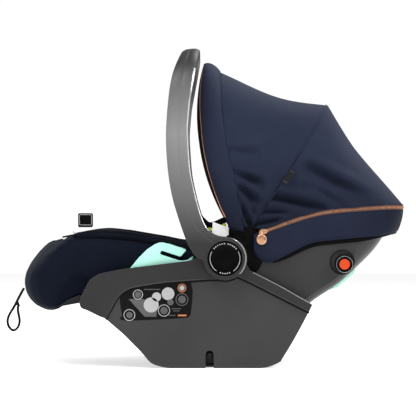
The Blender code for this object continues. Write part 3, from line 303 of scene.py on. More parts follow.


# Painted highlight and shade on the handle: bright at mid height, dark at the foot and the grip
HANDLE_PAINTED_LIGHT = [(0.00, (0.016,) * 3), (0.16, (0.022,) * 3), (0.36, (0.105,) * 3), (0.62, (0.195,) * 3),
                (0.80, (0.115,) * 3), (0.92, (0.026,) * 3), (1.00, (0.010,) * 3)]
MATERIALS = {
    "base": plastic("base_plastic", (0.031, 0.031, 0.0315), 0.48),
    # the band's plastic darker than the base's: painted shade
    "band": plastic("band_plastic", (0.0175, 0.0176, 0.0182), 0.46),
    "shell": plastic("shell_plastic", (0.0225, 0.0225, 0.0230), 0.46),
    "black": plastic("black_plastic", (0.0065, 0.0065, 0.007), 0.32, wear_and_highlight=0.25, depth=0.00004),
    "gloss": plastic("gloss_black", (0.0012, 0.0012, 0.0014), 0.30, wear_and_highlight=0.05, depth=0.00002, gloss=0.05),
    "film": plastic("label_film", (0.0045, 0.0045, 0.0047), 0.5, wear_and_highlight=0.05, depth=0.00003, gloss=0.06),
    # pale grey for thin painted highlights: the handle's lower rear chamfer, the band's top edge and the ring round
    # the side pods
    "edge": plastic("painted_edge_highlight", (0.17, 0.17, 0.17), 0.34, wear_and_highlight=0.3, depth=0.00003),
    # handle plastic with a painted highlight at mid height and painted shade above and below it
    "satin": plastic("handle_satin", (0.10, 0.10, 0.101), 0.50, metallic=0.15, wear_and_highlight=0.2, depth=0.00004,
                     painted_light_stops=(0.16, 0.606, HANDLE_PAINTED_LIGHT)),
    # bright metal for the handle's rear chamfer: a painted highlight, on top of the lamps' own reflection
    "bright": metal("chamfer_painted_highlight", (0.52, 0.52, 0.53), 0.38, 30.0),
    "rubber": plastic("grip_rubber", (0.030, 0.030, 0.031), 0.62, grain=900.0, depth=0.0004, wear_and_highlight=0.1),
    "mint": plastic("mint_plastic", (0.43, 0.83, 0.71), 0.34, depth=0.00003, vary=0.04, wear_and_highlight=0.15),
    "orange": plastic("orange_plastic", (0.50, 0.045, 0.006), 0.42, depth=0.00004, wear_and_highlight=0.1),
    "red": plastic("red_plastic", (0.62, 0.02, 0.02), 0.38, depth=0.00004, wear_and_highlight=0.1),
    "mark": plastic("pale_print", (0.34, 0.34, 0.34), 0.6, depth=0.00003, wear_and_highlight=0.0),
    "mark_dim": plastic("grey_print", (0.075, 0.075, 0.075), 0.6, depth=0.00003, wear_and_highlight=0.0),
    "mark_warm": plastic("warm_print", (0.46, 0.16, 0.07), 0.6, depth=0.00003, wear_and_highlight=0.0),
    "mark_green": plastic("green_print", (0.62, 0.68, 0.06), 0.6, depth=0.00003, wear_and_highlight=0.0),
    # the white label glows: painted light
    "paper": fabric("white_label", (0.88, 0.88, 0.87), 0.0007, 0.00008, 0.7, 0.0, 0.04, painted_glow=0.35),
    # hood darker towards the bottom and skirt darker towards the head end: painted shade
    "hood": fabric("hood_fabric", (0.0140, 0.0182, 0.0365), 0.0010, 0.00018, 0.74, 0.03, 0.12, 0.0005,
                   fade=("Z", 0.25, 0.40, 0.55, 1.0)),
    "skirt": fabric("skirt_fabric", (0.0110, 0.0140, 0.0290), 0.0010, 0.00018, 0.76, 0.03, 0.12, 0.0006,
                    fade=("X", 0.26, 0.37, 1.0, 0.45)),
    "cover": fabric("cover_fabric", (0.0034, 0.0052, 0.0118), 0.0012, 0.00022, 0.78, 0.02, 0.16, 0.0007),
    "liner": fabric("liner_fabric", (0.0028, 0.0037, 0.0070), 0.0015, 0.00035, 0.82, 0.02, 0.18, 0.0004),
    "lining": fabric("black_lining", (0.0020, 0.0020, 0.0025), 0.0009, 0.00016, 0.8, 0.01, 0.15),
    "webbing": webbing("webbing", (0.0050, 0.0050, 0.0055)),
    "copper": metal("copper_metal", (0.66, 0.36, 0.22), 0.30),
    "copper_tape": fabric("copper_tape", (0.42, 0.20, 0.125), 0.0009, 0.00016, 0.5, 0.02, 0.15),
    "zip_tape": fabric("zip_tape", (0.115, 0.058, 0.042), 0.0009, 0.00016, 0.6, 0.02, 0.15),
    "steel": metal("steel", (0.62, 0.62, 0.63), 0.26),
    "foam": beads("bead_foam", (0.78, 0.78, 0.77)),
}


# ---------------------------------------------------------------- mesh helpers
def to_object(name, points, faces, material, sharp_deg=35.0, uvs=None, flip_check=True):
    mesh = bpy.data.meshes.new(name)
    mesh.from_pydata([tuple(p) for p in points], [], faces)
    if uvs is not None:
        layer = mesh.uv_layers.new(name="UVMap")
        for loop in mesh.loops:
            layer.data[loop.index].uv = uvs[loop.vertex_index]
    if flip_check:
        bm = bmesh.new()
        bm.from_mesh(mesh)
        bmesh.ops.recalc_face_normals(bm, faces=bm.faces)
        if all(edge.is_manifold for edge in bm.edges) and bm.calc_volume(signed=True) < 0:
            bmesh.ops.reverse_faces(bm, faces=bm.faces)
        bm.to_mesh(mesh)
        bm.free()
    mesh.shade_smooth()
    if sharp_deg:
        mesh.set_sharp_from_angle(angle=math.radians(sharp_deg))
    mesh.materials.append(MATERIALS[material])
    obj = bpy.data.objects.new(name, mesh)
    bpy.context.scene.collection.objects.link(obj)
    return obj


def loft(name, loops, material, closed=False, sharp_deg=35.0, uvs=None):
    """A skin over closed loops, capped at both ends unless it closes on itself."""
    count = len(loops[0])
    points = [p for loop in loops for p in loop]
    faces = []
    for i in range(len(loops) if closed else len(loops) - 1):
        a, b = i * count, ((i + 1) % len(loops)) * count
        for j in range(count):
            k = (j + 1) % count
            faces.append((a + j, a + k, b + k, b + j))
    if not closed:
        faces.append(tuple(range(count)))
        faces.append(tuple((len(loops) - 1) * count + j for j in reversed(range(count))))
    return to_object(name, points, faces, material, sharp_deg, uvs)


def prism(name, outline, y0, y1, material, sharp_deg=35.0):
    return loft(name, [[(x, y, z) for x, z in outline] for y in (y0, y1)], material, sharp_deg=sharp_deg)


def plate(name, outline, y0, y1, material, edge=0.0015, segments=3):
    """An outline extruded along Y with rounded edges."""
    made = prism(name, outline, *sorted((y0, y1)), material)
    rounding(made, edge, segments)
    return made


def rounding(obj, width, segments=3, angle_deg=40.0):
    step = obj.modifiers.new("edge", "BEVEL")
    step.width = width
    step.segments = segments
    step.limit_method = "ANGLE"
    step.angle_limit = math.radians(angle_deg)
    step.harden_normals = True
    return obj


def turned(name, centre, profile, material, steps=64, sign=1):
    """A ring or plug turned about the Y axis through centre. profile holds (radius, y), and sign its side."""
    loops = []
    for i in range(steps):
        a = math.tau * i / steps
        loops.append([(centre[0] + r * math.cos(a), sign * y, centre[1] + r * math.sin(a)) for r, y in profile])
    return loft(name, loops, material, closed=True)


def surface(name, rows, material, closed_rows=False, thickness=0.0, sharp_deg=60.0):
    """An open sheet through rows of points, with UVs in metres."""
    rows = np.array(rows, float)
    count, wide = rows.shape[:2]
    along = np.concatenate([[0.0], np.cumsum(np.linalg.norm(np.diff(rows.mean(1), axis=0), axis=1))])
    across = np.concatenate([[0.0], np.cumsum(np.linalg.norm(np.diff(rows[count // 2], axis=0), axis=1))])
    uvs = [(across[j], along[i]) for i in range(count) for j in range(wide)]
    faces = []
    for i in range(count - 1):
        for j in range(wide - 1 + (1 if closed_rows else 0)):
            k = (j + 1) % wide
            faces.append((i * wide + j, i * wide + k, (i + 1) * wide + k, (i + 1) * wide + j))
    made = to_object(name, rows.reshape(-1, 3), faces, material, sharp_deg, uvs, flip_check=False)
    if thickness:
        step = made.modifiers.new("thickness", "SOLIDIFY")
        step.thickness = thickness
        step.offset = 0.0
        applied(made)
    return made


def applied(obj):
    """Bakes the modifiers into the mesh."""
    graph = bpy.context.evaluated_depsgraph_get()
    mesh = bpy.data.meshes.new_from_object(obj.evaluated_get(graph))
    old = obj.data
    obj.modifiers.clear()
    obj.data = mesh
    if old.users == 0:
        bpy.data.meshes.remove(old)
    return obj


def sweep(name, path, section, material, up=(0, 1, 0), closed=False, sharp_deg=50.0):
    """Carries a closed section (side, up) along a path. up fixes the section's second axis."""
    path = [Vector(p) for p in path]
    up = Vector(up)
    loops, uvs = [], []
    total = 0.0
    reach = [0.0]
    for p, q in zip(section, section[1:]):
        reach.append(reach[-1] + math.dist(p, q))
    for i, place in enumerate(path):
        if closed:
            run = path[(i + 1) % len(path)] - path[i - 1]
        else:
            run = path[min(i + 1, len(path) - 1)] - path[max(i - 1, 0)]
        run.normalize()
        side = run.cross(up).normalized()
        top = side.cross(run).normalized()
        if i:
            total += (place - path[i - 1]).length
        loops.append([place + side * a + top * b for a, b in section])
        uvs += [(r, total) for r in reach]
    return loft(name, loops, material, closed=closed, sharp_deg=sharp_deg, uvs=uvs)


def ring_section(radius, steps=10):
    turns = [math.tau * i / steps for i in range(steps)]
    return [(radius * math.cos(a), radius * math.sin(a)) for a in turns]


def flat_section(wide, thick):
    """A strap's section with softened edges: thick along the side axis, wide along the up axis."""
    a, b = thick / 2, wide / 2
    e = min(a * 0.8, 0.0006)
    return [(-a, -b + e), (-a + e, -b), (a - e, -b), (a, -b + e), (a, 0.0), (a, b - e), (a - e, b), (-a + e, b),
            (-a, b - e), (-a, 0.0)]


def cut(target, cutter, operation="DIFFERENCE"):
    """Applies a Boolean and removes the cutter."""
    step = target.modifiers.new("cut", "BOOLEAN")
    step.operation = operation
    step.object = cutter
    step.solver = "EXACT"
    applied(target)
    bpy.data.objects.remove(cutter, do_unlink=True)
    return target


def joined(name, objects):
    """One mesh out of several, which are removed."""
    bm = bmesh.new()
    materials = []
    for obj in objects:
        graph = bpy.context.evaluated_depsgraph_get()
        mesh = bpy.data.meshes.new_from_object(obj.evaluated_get(graph))
        shift = len(materials)
        materials += list(obj.data.materials)
        first = len(bm.faces)
        bm.from_mesh(mesh)
        bm.faces.ensure_lookup_table()
        for face in bm.faces[first:]:
            face.material_index += shift
        bpy.data.meshes.remove(mesh)
    mesh = bpy.data.meshes.new(name)
    bm.to_mesh(mesh)
    bm.free()
    for material in materials:
        mesh.materials.append(material)
    for obj in objects:
        bpy.data.objects.remove(obj, do_unlink=True)
    made = bpy.data.objects.new(name, mesh)
    bpy.context.scene.collection.objects.link(made)
    return made


def copy_of(node_name, name, material):
    """A new object from a CAD node's mesh, welded."""
    bm = bmesh.new()
    bm.from_mesh(NODES[node_name].data)
    bmesh.ops.remove_doubles(bm, verts=bm.verts, dist=0.00002)
    mesh = bpy.data.meshes.new(name)
    bm.to_mesh(mesh)
    bm.free()
    mesh.materials.append(MATERIALS[material])
    made = bpy.data.objects.new(name, mesh)
    bpy.context.scene.collection.objects.link(made)
    return made


def coordinates(obj):
    co = np.empty(len(obj.data.vertices) * 3)
    obj.data.vertices.foreach_get("co", co)
    return co.reshape(-1, 3)


def set_coordinates(obj, co):
    obj.data.vertices.foreach_set("co", co.reshape(-1).astype(np.float32))
    obj.data.update()


def normals(obj):
    n = np.empty(len(obj.data.vertices) * 3)
    obj.data.vertices.foreach_get("normal", n)
    return n.reshape(-1, 3)


CLOTH_FRAMES = 20


def puffed(obj, voxel=0.005, cap=0.005, pressure=4.0, shrink=0.6, soften=4, limit=None):
    """Remeshes a block finely and swells it with cloth under pressure, so that it reads as a filled pad."""
    obj.modifiers.clear()
    step = obj.modifiers.new("remesh", "REMESH")
    step.mode = "VOXEL"
    step.voxel_size = voxel
    step.use_smooth_shade = True
    soft = obj.modifiers.new("soft", "SMOOTH")
    soft.factor = 0.5
    soft.iterations = soften
    applied(obj)
    start = coordinates(obj) - normals(obj) * cap * shrink
    set_coordinates(obj, start)
    cloth = obj.modifiers.new("cloth", "CLOTH")
    cloth.settings.use_pressure = True
    cloth.settings.uniform_pressure_force = pressure
    cloth.settings.effector_weights.gravity = 0.0
    cloth.settings.quality = 4
    cloth.settings.tension_stiffness = 12.0
    cloth.settings.compression_stiffness = 8.0
    cloth.collision_settings.use_collision = False
    cloth.point_cache.frame_start = 1
    cloth.point_cache.frame_end = CLOTH_FRAMES
    scene = bpy.context.scene
    for number in range(1, CLOTH_FRAMES + 1):
        scene.frame_set(number)
    applied(obj)
    scene.frame_set(1)
    moved = coordinates(obj) - start
    reach = np.linalg.norm(moved, axis=1, keepdims=True)
    moved *= np.minimum(1.0, cap / np.maximum(reach, 1e-9))
    co = start + moved
    if limit:
        co = limit(co)
    set_coordinates(obj, co)
    step = obj.modifiers.new("finer", "SUBSURF")
    step.levels = step.render_levels = 1
    applied(obj)
    obj.data.shade_smooth()
    return obj


def distance_to(points, line):
    """Distance from 2-D points to a polyline, and how far along it they are, from 0 to 1."""
    line = np.array(line, float)
    best = np.full(len(points), np.inf)
    where = np.zeros(len(points))
    for i in range(len(line) - 1):
        a, b = line[i], line[i + 1]
        run = b - a
        t = np.clip(((points - a) @ run) / (run @ run), 0, 1)
        d = np.linalg.norm(points - (a + t[:, None] * run), axis=1)
        closer = d < best
        best[closer] = d[closer]
        where[closer] = (i + t[closer]) / (len(line) - 1)
    return best, where


def creased(obj, line, width, depth, plane=(0, 2), facing=None, fade=True):
    """Presses a seam or fold along a line drawn in one plane. facing limits it to one sign of an axis' normal."""
    co, n = coordinates(obj), normals(obj)
    away, along = distance_to(co[:, plane], line)
    amount = depth * np.exp(-(away / width) ** 2)
    if fade:
        amount *= np.clip(np.minimum(along, 1 - along) * 8, 0, 1)
    if facing:
        axis, least = facing
        amount *= np.clip((np.abs(n[:, axis]) - least) / 0.3, 0, 1)
    set_coordinates(obj, co - n * amount[:, None])
    return obj


def finish_piece(obj, body, replaced=()):
    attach(obj, body)
    if replaced:
        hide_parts(*replaced)
    return obj


def dress(node_name, material, edge=0.0, segments=2):
    """A CAD node that stays gets its material, and rounded edges where it has room for them."""
    obj = NODES[node_name]
    obj.data.materials.clear()
    obj.data.materials.append(MATERIALS[material])
    if edge:
        weld = obj.modifiers.new("weld", "WELD")
        weld.merge_threshold = 0.00002
        step = rounding(obj, edge, segments, 30.0).modifiers["edge"]
        step.harden_normals = False
    return obj


# ---------------------------------------------------------------- camera, floor and light
CAMERA_PLACE, CAMERA_LENS = (0.0, -4.5, 0.2988), 199.7
FLOOR_Z, FLOOR_HALF = -0.0006, 6.0
# name, place, aim, width, power, height
LAMPS = [("top_front", (-0.9, -1.6, 2.8), (0.0, 0.0, 0.25), 1.6, 84.0, 1.6),
         ("top_back", (1.2, 1.5, 2.4), (0.05, 0.0, 0.3), 1.4, 58.0, 1.4),
         ("side_strip", (1.7, -1.0, 1.5), (0.05, 0.0, 0.35), 0.5, 34.0, 1.6),
         ("far_side", (-1.6, 1.8, 1.4), (0.0, 0.0, 0.25), 1.2, 22.0, 1.2)]


def camera():
    data = bpy.data.cameras.new("camera")
    data.sensor_width = 36.0
    data.lens = CAMERA_LENS
    data.clip_end = 50.0
    made = bpy.data.objects.new("camera", data)
    bpy.context.scene.collection.objects.link(made)
    made.location = CAMERA_PLACE
    made.rotation_euler = (math.radians(90), 0, 0)
    bpy.context.scene.camera = made


def lamp(name, place, aim, width, power, height):
    data = bpy.data.lights.new(name, "AREA")
    data.shape = "RECTANGLE"
    data.size = width
    data.size_y = height
    data.energy = power
    made = bpy.data.objects.new(name, data)
    bpy.context.scene.collection.objects.link(made)
    made.location = place
    made.rotation_euler = (Vector(aim) - Vector(place)).to_track_quat("-Z", "Y").to_euler()


def studio():
    world = bpy.data.worlds.new("studio")
    world.use_nodes = True
    tree = world.node_tree
    soft = tree.nodes["Background"]
    soft.inputs["Color"].default_value = (1.0, 1.0, 1.0, 1.0)
    soft.inputs["Strength"].default_value = 0.33
    white = node(tree, "ShaderNodeBackground", {"Color": (1.0, 1.0, 1.0, 1.0), "Strength": 1.02})
    seen = node(tree, "ShaderNodeLightPath").outputs["Is Camera Ray"]
    both = node(tree, "ShaderNodeMixShader", {0: seen, 1: soft.outputs[0], 2: white.outputs[0]})
    tree.links.new(both.outputs[0], tree.nodes["World Output"].inputs["Surface"])
    bpy.context.scene.world = world
    bpy.context.scene.view_settings.view_transform = "Standard"

    corners = [(x * FLOOR_HALF, y * FLOOR_HALF, FLOOR_Z) for x, y in ((-1, -1), (1, -1), (1, 1), (-1, 1))]
    floor = to_object("floor", corners, [(0, 1, 2, 3)], "paper", flip_check=False)
    pale, tree, shader = blank("pale_floor", 0.9)
    shader.inputs["Base Color"].default_value = (0.86, 0.86, 0.86, 1.0)
    shader.inputs["Emission Color"].default_value = (1.0, 1.0, 1.0, 1.0)
    shader.inputs["Emission Strength"].default_value = 0.62
    floor.data.materials[0] = pale

    for settings in LAMPS:
        lamp(*settings)


# ---------------------------------------------------------------- pull loop under the nose
LOOP_KNOTS = [(-0.3590, 0.1425), (-0.3647, 0.1320), (-0.3700, 0.1220), (-0.3745, 0.1130),
              (-0.3800, 0.1030), (-0.3860, 0.0935), (-0.3905, 0.0820), (-0.3900, 0.0720),
              (-0.3855, 0.0640), (-0.3795, 0.0605), (-0.3725, 0.0640), (-0.3682, 0.0725),
              (-0.3675, 0.0820), (-0.3697, 0.0935), (-0.3708, 0.1040), (-0.3685, 0.1105)]
LOOP_WIDE = 0.0066


def pull_loop():
    path = [(x, 0.0, z) for x, z in smooth(LOOP_KNOTS, 5)]
    loop = sweep("pull_loop_tape", path, flat_section(LOOP_WIDE, 0.0046), "webbing")
    collar = [(-0.3742, 0.0, 0.1160), (-0.3722, 0.0, 0.1132), (-0.3712, 0.0, 0.1095)]
    stitch = sweep("pull_loop_stitch", smooth(collar, 4), flat_section(0.0078, 0.0070), "webbing")
    finish_piece(loop, "leg_rest", ["pull_loop"])
    finish_piece(stitch, "leg_rest")


# ---------------------------------------------------------------- carry handle
FRONT_KNOTS = [(-0.0090, 0.1995), (-0.0150, 0.2045), (-0.0220, 0.2080), (-0.0300, 0.2180), (-0.0395, 0.2360),
               (-0.0539, 0.2765), (-0.0669, 0.3211), (-0.0743, 0.3657), (-0.0778, 0.4103), (-0.0781, 0.4438),
               (-0.0762, 0.4772), (-0.0735, 0.5050)]
REAR_KNOTS = [(0.0450, 0.2430), (0.0330, 0.2455), (0.0210, 0.2470), (0.0067, 0.2535), (-0.0040, 0.2660),
              (-0.0130, 0.2876), (-0.0223, 0.3211), (-0.0316, 0.3657), (-0.0353, 0.4103), (-0.0368, 0.4438),
              (-0.0350, 0.4720), (-0.0325, 0.4990)]
TOP_CENTRE = (-0.0325, 0.5975)
GRIP_THICK, GRIP_WIDE = 0.020, 0.0345
GRIP_LEAN = Vector((0.997, 0, 0.08)).normalized()
GRIP_BULGE = 0.0045
CHAMFER, GRIP_CHAMFER = 0.0030, 0.0048
DOME = 0.0009
# the rear chamfer faces, and the top of the painted highlight along them
REAR_CHAMFER_FACES = (4, 5)
CHAMFER_HIGHLIGHT_TOP = 0.562


def strip_ring(centre, along, half, out, thick, chamfer=CHAMFER):
    """Points round the handle's section: along runs from the front edge to the rear, out away from the seat."""
    c = min(chamfer, half * 0.3)
    t = thick / 2
    lip = min(0.0012, t * 0.2)
    profile = [(-half + c, -t), (half - c, -t), (half - 0.3 * c, -t + 0.4 * c), (half, -t + 1.2 * c),
               (half, t - 1.25 * c), (half - 0.30 * c, t - 0.55 * c), (half - 1.05 * c, t - 0.18 * c),
               (half * 0.55, t + DOME * 0.5), (0.0007, t + DOME), (0.0, t + DOME - lip * 0.25), (-0.0007, t + DOME),
               (-half * 0.55, t + DOME * 0.5), (-half + 1.05 * c, t - 0.18 * c), (-half + 0.30 * c, t - 0.55 * c),
               (-half, t - 1.25 * c), (-half, -t + 1.2 * c), (-half + 0.3 * c, -t + 0.4 * c)]
    return [centre + along * u + out * w for u, w in profile]


def handle_rings(sign):
    count = 64
    front_line = [*arc(HUB, HUB_RADIUS, -100, -168, 14), *smooth(FRONT_KNOTS, 8)]
    rear_line = [*arc(HUB, HUB_RADIUS, -80, 62, 22), *smooth(REAR_KNOTS, 8)]
    rings, heights = [], []
    for i, (f, r) in enumerate(zip(resample(front_line, count), resample(rear_line, count))):
        f, r = Vector((f[0], 0, f[1])), Vector((r[0], 0, r[1]))
        share = min(1.0, max(0.0, (i / (count - 1) - 0.25) / 0.2))
        outer = HUB_OUT + (ARM_OUT - HUB_OUT) * share - DOME
        middle = (f + r) / 2 + Vector((0, sign * (HANDLE_IN + outer) / 2, 0))
        rings.append(strip_ring(middle, (r - f).normalized(), (r - f).length / 2, Vector((0, sign, 0)),
                                outer - HANDLE_IN))
        heights.append(r.z)
    f = Vector((front_line[-1][0], 0, front_line[-1][1]))
    r = Vector((rear_line[-1][0], 0, rear_line[-1][1]))
    start, wide0 = (f + r) / 2, r - f
    top = Vector((TOP_CENTRE[0], 0, TOP_CENTRE[1]))
    wide1 = GRIP_LEAN * GRIP_WIDE
    y_start, corner_y = (HANDLE_IN + ARM_OUT) / 2, 0.100
    steps = 18
    for i in range(1, steps + 1):
        a = math.radians(90 * i / steps)
        share = math.sin(a) ** 0.9
        y = corner_y + (y_start - corner_y) * math.cos(a)
        centre = start.lerp(top - Vector((0, 0, 0.006)), share) + Vector((0, sign * y, 0))
        wide = wide0.lerp(wide1, share)
        bulge = GRIP_BULGE * math.sin(math.pi * share)
        centre.x -= bulge / 2
        wide *= 1 + bulge / wide.length
        thick = (ARM_OUT - HANDLE_IN) * (1 - share) + GRIP_THICK * share
        out = Vector((0, sign * math.cos(a), math.sin(a)))
        rings.append(strip_ring(centre, wide.normalized(), wide.length / 2, out, thick - DOME,
                                CHAMFER + (GRIP_CHAMFER - CHAMFER) * share))
        heights.append(centre.z)
    for y, lift in ((0.080, -0.0042), (0.055, -0.0022), (0.028, -0.0006), (0.0, 0.0)):
        centre = top + Vector((0, sign * y, lift))
        rings.append(strip_ring(centre, wide1.normalized(), wide1.length / 2, Vector((0, 0, 1)), GRIP_THICK - DOME,
                                GRIP_CHAMFER))
        heights.append(1.0)
    return rings, heights


LIP_PROFILE = [(0.0329, 0.2180), (0.0329, 0.2228), (0.0334, 0.2233), (0.0341, 0.2233), (0.0346, 0.2226),
               (0.0346, 0.2180)]
CAP_PROFILE = [(0.0, 0.2150), (0.0318, 0.2150), (0.0318, 0.2222), (0.0313, 0.2229), (0.0303, 0.2232),
               (0.0294, 0.2229), (0.0150, 0.2232), (0.0, 0.2233)]
SPRING_RADIUS, SPRING_FOOT, SPRING_LONG = 0.0160, 0.2105, 0.0031
SPRING_TURNS, SPRING_STEPS = 2.25, 108


def cap_marks(sign):
    """Two raised side arcs, with plain dashes above and below them."""
    low, high = sorted((sign * 0.2226, sign * 0.2235))
    spans = [(152, 236, 24), (-56, 28, 24)]
    spans += [(a - 2.1, a + 2.1, 2) for a in (*range(42, 82, 9), *range(92, 142, 9), *range(252, 292, 9))]
    marks = []
    for start, end, steps in spans:
        inner, outer = (0.0273, 0.0283) if steps > 2 else (0.0266, 0.0288)
        outline = [*arc(HUB, outer, start, end, steps), *reversed(arc(HUB, inner, start, end, steps))]
        marks.append(prism("mark", outline, low, high, "mark"))
    return marks


def handle():
    left, left_z = handle_rings(-1)
    right, right_z = handle_rings(1)
    rings = left + right[-2::-1]
    heights = left_z + right_z[-2::-1]
    frame_piece = loft("handle_bow", rings, "satin", sharp_deg=28.0)
    frame_piece.data.materials.append(MATERIALS["bright"])
    frame_piece.data.materials.append(MATERIALS["edge"])
    count = len(rings[0])
    # painted highlight: the rear chamfer is bright metal above the hub and pale grey beside it, and stays satin low
    # down and near the grip
    for i in range(len(rings) - 1):
        if min(heights[i], heights[i + 1]) < HUB[1] - 0.032 or max(heights[i], heights[i + 1]) > CHAMFER_HIGHLIGHT_TOP:
            continue
        for j in REAR_CHAMFER_FACES:
            frame_piece.data.polygons[i * count + j].material_index = 1 if heights[i] > HUB[1] + 0.030 else 2
    for side, sign in SIDES:
        pocket = prism(f"pocket_{side}", arc(HUB, 0.0328, 0, 360, 72)[:-1], *sorted((sign * 0.2095, sign * 0.24)),
                       "satin")
        cut(frame_piece, pocket)
    frame_piece.data.set_sharp_from_angle(angle=math.radians(28))
    finish_piece(frame_piece, "handle", ["handle_frame"])

    for side, sign in SIDES:
        lip = turned(f"hub_lip_{side}", HUB, LIP_PROFILE, "satin", 72, sign)
        finish_piece(lip, "handle")
        cap = turned(f"hub_cap_{side}", HUB, CAP_PROFILE, "gloss", 72, sign)
        finish_piece(cap, f"handle_button_{side}", [f"handle_button_{side}"])
        ring = joined(f"cap_ring_{side}", cap_marks(sign))
        finish_piece(ring, f"handle_button_{side}")
        coil = []
        for i in range(SPRING_STEPS + 1):
            a = math.tau * i * SPRING_TURNS / SPRING_STEPS
            y = sign * (SPRING_FOOT + SPRING_LONG * i / SPRING_STEPS)
            coil.append((HUB[0] + SPRING_RADIUS * math.cos(a), y, HUB[1] + SPRING_RADIUS * math.sin(a)))
        spring = sweep(f"hub_spring_{side}", coil, ring_section(0.0005, 8), "steel", up=(0, 1, 0))
        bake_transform(spring)
        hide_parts(f"button_spring_{side}")
        dress(f"pivot_boss_{side}", "black")

    loops = []
    top = Vector((TOP_CENTRE[0], 0, TOP_CENTRE[1]))
    wide = GRIP_LEAN
    for i in range(25):
        y = -0.062 + 0.124 * i / 24
        end = min(1.0, (0.062 - abs(y)) / 0.007)
        lift = -0.0022 * (y / 0.055) ** 2
        half = 0.0085 + 0.0035 * math.sqrt(max(0.0, end))
        rib = 0.0004 * (i % 2)
        low = top + Vector((0, y, lift - GRIP_THICK / 2))
        drop = 0.0012 + 0.0042 * math.sqrt(max(0.0, end)) - rib
        loops.append([low - wide * half, low + wide * half, low + wide * half * 0.92 + Vector((0, 0, -drop * 0.6)),
                      low + wide * half * 0.6 + Vector((0, 0, -drop)), low - wide * half * 0.6 + Vector((0, 0, -drop)),
                      low - wide * half * 0.92 + Vector((0, 0, -drop * 0.6))])
    pad = loft("grip_cushion", loops, "rubber", sharp_deg=50)
    finish_piece(pad, "handle", ["grip_pad"])


# ---------------------------------------------------------------- base
SOLE = [(-0.2225, 0.108), (-0.1936, 0.0938), (-0.1586, 0.0638), (-0.125, 0.0302),
        (-0.1063, 0.0096), (-0.085, 0.002), (-0.070, 0.0)]
SOLE_REAR = [(0.095, 0.0), (0.112, 0.002), (0.1325, 0.0105), (0.1395, 0.019), (0.1603, 0.0526), (0.1845, 0.0973)]
TUB_TOP = [(0.1925, 0.117), (0.0772, 0.1772), (0.066, 0.186), *arc(HUB, 0.034, -20, 175, 16), (-0.0392, 0.198),
           (-0.1455, 0.1849), (-0.2068, 0.1728), (-0.2229, 0.161), (-0.2385, 0.132), (-0.2385, 0.122)]
SLOT_X = (-0.0045, 0.0104)
SLOT_TOP = 0.033
BAND = [*smooth([(-0.2401, 0.124), (-0.2365, 0.113), (-0.2239, 0.1075), (-0.2015, 0.0965), (-0.1903, 0.093)], 4),
        *smooth([(-0.1815, 0.1104), (-0.1666, 0.1346), (-0.1487, 0.1477), (-0.125, 0.1535), (-0.0714, 0.161),
                 (0.002, 0.1665)], 4),
        *arc(HUB, 0.0400, -105, -55, 6), (0.078, 0.1615), (0.1885, 0.1055),
        (0.1945, 0.1185), (0.1340, 0.1540), (0.0785, 0.1825), *arc(HUB, 0.0385, -10, 170, 20),
        *smooth([(-0.0284, 0.2040), (-0.0392, 0.2000), (-0.1455, 0.1869), (-0.195, 0.1780), (-0.2078, 0.1735),
                 (-0.2175, 0.1675), (-0.2239, 0.1600)], 4)]
BAND_FOOT = [*smooth([(-0.1903, 0.0930), (-0.1815, 0.1104), (-0.1666, 0.1346), (-0.1487, 0.1477), (-0.125, 0.1535),
                      (-0.0714, 0.161), (0.002, 0.1665)], 4), *arc(HUB, 0.0400, -105, -55, 6), (0.078, 0.1615),
             (0.130, 0.1351), (0.1885, 0.1055)]
BAND_HIGHLIGHT_LINE = [(0.0840, 0.1786), (0.1000, 0.1705), (0.1340, 0.1530), (0.1640, 0.1360), (0.1900, 0.1212)]
LABEL = [(-0.160, 0.098), (-0.155, 0.089), (-0.048, 0.0935), (-0.036, 0.097), (-0.0315, 0.106),
         (-0.0315, 0.159), (-0.0714, 0.1585), (-0.124, 0.1512), (-0.1470, 0.1452), (-0.1640, 0.1330)]
SKIN_OUT = 0.1962


